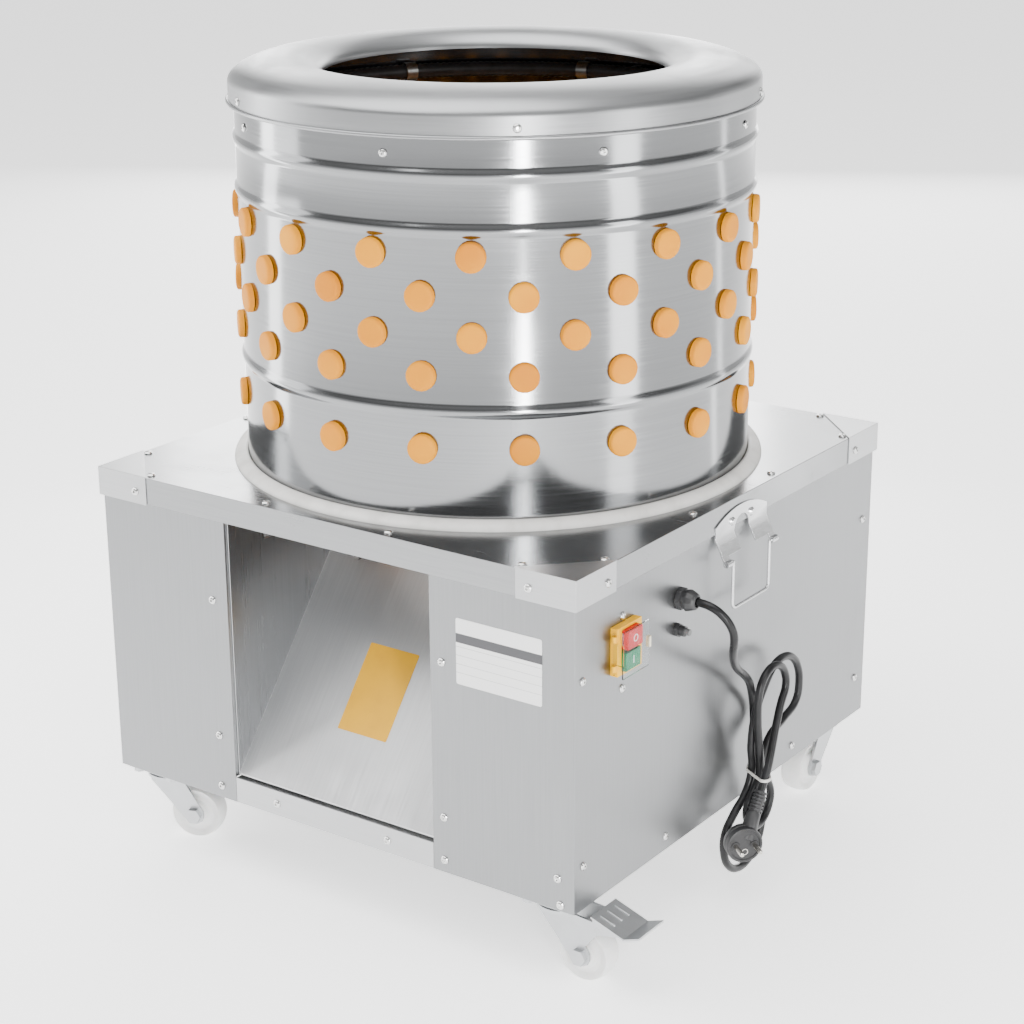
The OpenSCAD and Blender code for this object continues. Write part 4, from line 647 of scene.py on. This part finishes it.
wall_finger_l, plate_finger_l = 92, 78
wall_finger = rubber_finger(drum_wall + 0.4, wall_finger_l)
finger_mesh = bmesh.new()
row_heights, row_shift = (251, 214.5, 178, 141.5, 73), (0, 0.5, 0, 0.5, 0.5)
wall_count, first_turn, head_gap, row_twist, place_twist = 17, 120.67, 0.05, 0.9, 2.3
for row, height in enumerate(row_heights):
    for place in range(wall_count):
        turn = math.radians(first_turn + (place + row_shift[row]) * 360 / wall_count)
        spot = Vector((-drum_r - head_gap, 0, lid_z + height))
        own_turn = Matrix.Rotation(row_twist * row + place_twist * place, 4, "Z")
        add_copy(finger_mesh, wall_finger, Matrix.Rotation(turn, 4, "Z")
            @ Matrix.Translation(spot) @ Matrix.Rotation(math.pi / 2, 4, "Y") @ own_turn)
made("wall_fingers_rubber", finger_mesh, finger_rubber, "cabinet", "wall_fingers", sharp=45)

# Feather plate, its fingers and its sweepers. A round steel plate that the shaft turns, with
# three rings of shorter fingers, and rubber blades below that sweep feathers to the outlet.
plate_steel = finish("plate_steel", brushed_grain, {"Tone": (0.58, 0.58, 0.57, 1),
    "Stretch": (90.0, 90.0, 90.0), "Gloss": 0.3, "Smudges": 1.0, "Bump": 0.15}, Metallic=1.0)
dressed("feather_plate", plate_steel, "rotor", broken=0.4, sharp=40)
plate_t, plate_seat = 3, 374.95
plate_finger = rubber_finger(plate_t, plate_finger_l)
plate_finger_mesh = bmesh.new()
for reach, count, start in ((80, 6, 0), (140, 12, 15), (200, 18, 0)):
    for place in range(count):
        turn = Matrix.Rotation(math.radians(start + place * 360 / count), 4, "Z")
        spot = Matrix.Translation((reach, 0, plate_seat))
        add_copy(plate_finger_mesh, plate_finger, turn @ spot)
made("plate_fingers_rubber", plate_finger_mesh, finger_rubber, "rotor", "plate_fingers",
    sharp=45)
sweeper_rubber = finish("sweeper_rubber", moulded_skin, {"Tone": (0.03, 0.03, 0.03, 1),
    "Blotch": (0.07, 0.065, 0.06, 1), "Gloss": 0.6, "Peel": 0.4, "Fineness": 600.0})
dressed("sweeper_blades", sweeper_rubber, "rotor", broken=0.8)

# Drive line. A turned steel shaft in two ball bearings, in a cast housing on the frame's
# beams. A V belt takes the motor's speed down from a small pulley to a large one.
shaft_steel = finish("shaft_steel", brushed_grain, {"Tone": (0.52, 0.52, 0.51, 1),
    "Stretch": (80.0, 80.0, 900.0), "Gloss": 0.28, "Smudges": 0.8, "Bump": 0.15}, Metallic=1.0)
cast_iron = finish("cast_iron", moulded_skin, {"Tone": (0.14, 0.145, 0.15, 1),
    "Blotch": (0.22, 0.22, 0.22, 1), "Gloss": 0.55, "Peel": 0.8, "Fineness": 260.0},
    Metallic=0.3)
belt_rubber = finish("belt_rubber", moulded_skin, {"Tone": (0.02, 0.02, 0.02, 1),
    "Blotch": (0.05, 0.048, 0.045, 1), "Gloss": 0.65, "Peel": 0.5, "Fineness": 900.0})
dressed("main_shaft", shaft_steel, "rotor", broken=0.5, sharp=40)
dressed("main_bearings", shaft_steel, broken=0.3, sharp=40)
dressed("bearing_housing", cast_iron, broken=0.8, sharp=40)
dressed("large_pulley", cast_iron, "rotor", broken=0.5, sharp=40)
dressed("small_pulley", cast_iron, "motor_rotor", broken=0.4, sharp=40)
dressed("v_belt", belt_rubber, broken=0.4, sharp=40)

# Motor. A finned single-phase motor hung under a steel plate, with its shaft up, a fan under
# a pressed cover and a terminal box on its side. Painted a machine grey blue.
motor_paint = finish("motor_paint", moulded_skin, {"Tone": (0.10, 0.17, 0.26, 1),
    "Blotch": (0.13, 0.20, 0.29, 1), "Gloss": 0.36, "Peel": 0.5, "Fineness": 320.0},
    Coat_Weight=0.2, Coat_Roughness=0.3)
box_plastic = finish("box_plastic", moulded_skin, {"Tone": (0.03, 0.03, 0.032, 1),
    "Blotch": (0.05, 0.05, 0.052, 1), "Gloss": 0.48, "Peel": 0.35, "Fineness": 800.0})
dressed("motor_mount", mill_steel, broken=0.5, sharp=40)
dressed("motor_body", motor_paint, broken=0.6, sharp=40)
dressed("motor_shaft", shaft_steel, "motor_rotor", broken=0.4, sharp=40)
dressed("motor_fan", box_plastic, "motor_rotor", broken=0.3, sharp=40)
dressed("motor_fan_cover", motor_paint, broken=0.5, sharp=40)
dressed("motor_terminal_box", box_plastic, broken=1.2, sharp=40)

# Cable gland. A black nylon nut against the panel, a threaded neck, and a slim fluted dome
# that grips the cord and lets it leave straight.
gland_place = Matrix.Translation((282, -107, 332)) @ Matrix.Rotation(math.pi / 2, 4, "Y")
gland_plastic = finish("gland_plastic", moulded_skin, {"Tone": (0.014, 0.014, 0.015, 1),
    "Blotch": (0.03, 0.03, 0.031, 1), "Gloss": 0.36, "Peel": 0.15, "Fineness": 1100.0})
gland_mesh = turned([(4.6, -13.2), (9, -13.2), (9, 6.2), (9, 8.8), (10.4, 9.2), (10.6, 10.5),
    (10.2, 12.4), (9.4, 14.4), (8.7, 16.4), (7.6, 18.6), (6.4, 19.7), (5.2, 20), (4.6, 19),
    (4.6, 8)], 48, closed=True)
nut_r, flute_count, flute_depth, flute_low, flute_high, flute_r = 11, 12, 0.025, 9.1, 18, 8
for vert in gland_mesh.verts:
    if flute_low < vert.co.z < flute_high and math.hypot(vert.co.x, vert.co.y) > flute_r:
        wave = math.cos(flute_count * math.atan2(vert.co.y, vert.co.x))
        vert.co.x *= 1 - flute_depth + flute_depth * wave
        vert.co.y *= 1 - flute_depth + flute_depth * wave
for low, high in ((0.02, 6), (-6.2, -1.22)):
    nut = bmesh.new()
    bmesh.ops.create_cone(nut, cap_ends=True, segments=6, radius1=nut_r, radius2=nut_r,
        depth=high - low)
    bmesh.ops.bevel(nut, geom=nut.edges[:], offset=0.6, segments=2, profile=0.5,
        affect="EDGES", material=-1)
    add_copy(gland_mesh, nut, Matrix.Translation((0, 0, (low + high) / 2)))
bmesh.ops.transform(gland_mesh, matrix=gland_place, verts=gland_mesh.verts)
made("gland", gland_mesh, gland_plastic, "cabinet", "cable_gland", sharp=35)

# Switch. A no-volt release switch with a yellow frame, a red stop button with a ring mark
# and a green start button with a bar, and a clear flap hinged at its left edge.
switch_yellow = finish("switch_yellow", moulded_skin, {"Tone": (0.86, 0.44, 0.0, 1),
    "Blotch": (0.80, 0.39, 0.0, 1), "Gloss": 0.34, "Peel": 0.2, "Fineness": 1500.0},
    Specular_IOR_Level=0.25)
button_red = finish("button_red", moulded_skin, {"Tone": (0.60, 0.004, 0.008, 1),
    "Blotch": (0.48, 0.003, 0.006, 1), "Gloss": 0.28, "Peel": 0.12, "Fineness": 1500.0},
    Specular_IOR_Level=0.25)
button_green = finish("button_green", moulded_skin, {"Tone": (0.0, 0.20, 0.085, 1),
    "Blotch": (0.0, 0.15, 0.06, 1), "Gloss": 0.28, "Peel": 0.12, "Fineness": 1500.0},
    Specular_IOR_Level=0.25)
mark_white = finish("mark_white", moulded_skin, {"Tone": (0.86, 0.86, 0.85, 1),
    "Blotch": (0.78, 0.78, 0.77, 1), "Gloss": 0.4, "Peel": 0.1, "Fineness": 1500.0})
dressed("switch_frame", switch_yellow, broken=1.1)
dressed("switch_body", box_plastic, broken=0.6)
dressed("stop_button", button_red, "stop_button", broken=0.9)
dressed("start_button", button_green, "start_button", broken=0.9)
switch_y, stop_z, start_z, stop_face, start_face = -204, 328.5, 307.5, 296, 294
facing_out = Matrix.Rotation(math.pi / 2, 4, "Y")
ring_mark = turned([(2.6, 0), (3.6, 0), (3.6, 0.25), (2.6, 0.25)], 40, closed=True,
    place=Matrix.Translation((stop_face, switch_y, stop_z)) @ facing_out)
made("stop_ring_mark", ring_mark, mark_white, "stop_button", sharp=40)
bar_mark = sheet_piece(7.4, 1.2, 0.25, 0.5)
bmesh.ops.transform(bar_mark, verts=bar_mark.verts,
    matrix=Matrix.Translation((start_face + 0.12, switch_y, start_z)) @ facing_out)
made("start_bar_mark", bar_mark, mark_white, "start_button", sharp=40)
flap_clear = finish("flap_clear", moulded_skin, {"Tone": (0.95, 0.97, 0.97, 1),
    "Blotch": (0.93, 0.95, 0.95, 1), "Gloss": 0.03, "Peel": 0.02, "Fineness": 900.0},
    Transmission_Weight=1.0, IOR=1.12)
dressed("switch_flap", flap_clear, "switch_flap", broken=0.5)
tab_cream = finish("tab_cream", moulded_skin, {"Tone": (0.74, 0.68, 0.52, 1),
    "Blotch": (0.68, 0.62, 0.47, 1), "Gloss": 0.35, "Peel": 0.1, "Fineness": 1300.0})
tab_place = Matrix.Translation((296.1, -182.45, 318))
tab_mesh = sheet_piece(4.5, 3.3, 10.3, 0.8)
bmesh.ops.transform(tab_mesh, verts=tab_mesh.verts, matrix=tab_place)
made("flap_tab", tab_mesh, tab_cream, "switch_flap", sharp=40)

# Reset. The motor's thermal cut-out, through the panel under the gland: a black body behind,
# a hexagon nut on its threaded neck, and a small plunger that is pushed in to reset it.
plunger_grey = finish("plunger_grey", moulded_skin, {"Tone": (0.10, 0.10, 0.10, 1),
    "Blotch": (0.14, 0.14, 0.14, 1), "Gloss": 0.4, "Peel": 0.2, "Fineness": 1500.0})
dressed("reset_body", gland_plastic, broken=0.35, sharp=35)
dressed("reset_button", plunger_grey, "reset_button", broken=0.4, sharp=35)

# Handles. A bright arched plate riveted to the lid's edge, folded out to a knuckle that a
# wire bail swings in. The wire is bent from one length of bright steel.
handle_steel = finish("handle_steel", brushed_grain, {"Tone": (0.60, 0.605, 0.61, 1),
    "Stretch": (120.0, 120.0, 500.0), "Gloss": 0.14, "Smudges": 0.4, "Bump": 0.05},
    Metallic=1.0)
dressed("handle_plates", handle_steel, broken=0.3, sharp=35)
dressed("handle_bail_right", handle_steel, "bail_right", broken=0.2, sharp=35)
dressed("handle_bail_left", handle_steel, "bail_left", broken=0.2, sharp=35)

# Screws and rivets. Pan heads of bright stainless with a hexagon socket, in the lid, the
# panels and the caps, round the collar's skirt and through the drum into the hose clips.
screw_steel = finish("screw_steel", brushed_grain, {"Tone": (0.66, 0.66, 0.65, 1),
    "Stretch": (600.0, 600.0, 600.0), "Gloss": 0.2, "Smudges": 0.5, "Bump": 0.06}, Metallic=1.0)
dressed("cabinet_screws", screw_steel, broken=0.15, sharp=35)
dressed("drum_screws", screw_steel, broken=0.15, sharp=35)

# Castors. Zinc plated pressings: a square plate with a ball race, a fork on a king pin and a
# hexagon axle bolt. The wheels are moulded of white nylon, with a round tread.
castor_zinc = finish("castor_zinc", brushed_grain, {"Tone": (0.50, 0.51, 0.52, 1),
    "Stretch": (60.0, 60.0, 60.0), "Gloss": 0.4, "Smudges": 1.0, "Bump": 0.12}, Metallic=1.0)
dressed("castor_plates", castor_zinc, broken=0.5, sharp=35)
castor_reach, castor_top, trail, axle_drop = 246, 80, 30, -52
castor_turns = {"front_right": (1, -1, 0), "front_left": (-1, -1, 20),
    "rear_right": (1, 1, -90), "rear_left": (-1, 1, 180)}
for castor in castor_turns:
    dressed("castor_fork_" + castor, castor_zinc, "swivel_" + castor, broken=0.4, sharp=35)


def at_castor(castor):
    """The place and turn of one castor's swivel."""
    side, end, turn = castor_turns[castor]
    return (Matrix.Translation((side * castor_reach, end * castor_reach, castor_top))
        @ Matrix.Rotation(math.radians(turn), 4, "Z"))


wheel_nylon = finish("wheel_nylon", moulded_skin, {"Tone": (0.80, 0.80, 0.79, 1),
    "Blotch": (0.72, 0.72, 0.70, 1), "Gloss": 0.4, "Peel": 0.25, "Fineness": 420.0},
    Subsurface_Weight=0.05, Subsurface_Scale=0.003)
crown_r, crown_rise, tread_half, crown_lean, crown_steps = 23.5, 4.5, 11, math.radians(60), 8
wheel_line = [(5.06, -12.6), (11.6, -12.6), (12.7, -12.1), (13.4, -9.4), (14.6, -8.1),
    (18.4, -8), (20.2, -8.6), (21.4, -9.8)]
for step in range(-crown_steps, crown_steps + 1):
    lean = crown_lean * step / crown_steps
    wheel_line.append((crown_r + crown_rise * math.cos(lean),
        tread_half * math.sin(lean) / math.sin(crown_lean)))
wheel_line += [(r, -z) for r, z in wheel_line[7::-1]]
wheel_shape = turned(wheel_line, 64, closed=True)
for castor in castor_turns:
    wheel_mesh = bmesh.new()
    add_copy(wheel_mesh, wheel_shape, at_castor(castor)
        @ Matrix.Translation((trail, 0, axle_drop)) @ Matrix.Rotation(math.pi / 2, 4, "X"))
    made("wheel_" + castor + "_nylon", wheel_mesh, wheel_nylon, "wheel_" + castor,
        "castor_wheel_" + castor, sharp=40)

# Brake pedals, on the front right and rear left castors. Bent zinc plated sheet that swings
# on a pin across the fork, with three short ribs near its root. A foot pushes it down.
pedal_slope, pedal_out, pedal_down, rib_size = math.radians(18.7), 58, -8.2, (17, 3.2, 2.0, 1)
for castor, pedal in (("front_right", "front"), ("rear_left", "rear")):
    dressed("brake_pedal_" + pedal, castor_zinc, "brake_" + pedal, broken=0.5, sharp=25)
    rib_mesh = bmesh.new()
    for across in (-12, 0, 12):
        rib = bmesh.new()
        bmesh.ops.create_cube(rib, size=1, matrix=Matrix.Diagonal(rib_size))
        bmesh.ops.bevel(rib, geom=rib.edges[:], offset=0.9, segments=3, profile=0.5,
            affect="EDGES", material=-1)
        rib_place = Matrix.Translation((pedal_out, across, pedal_down))
        add_copy(rib_mesh, rib, at_castor(castor) @ rib_place @ Matrix.Rotation(pedal_slope, 4, "Y"))
    made("pedal_ribs_" + pedal, rib_mesh, castor_zinc, "brake_" + pedal, sharp=40)
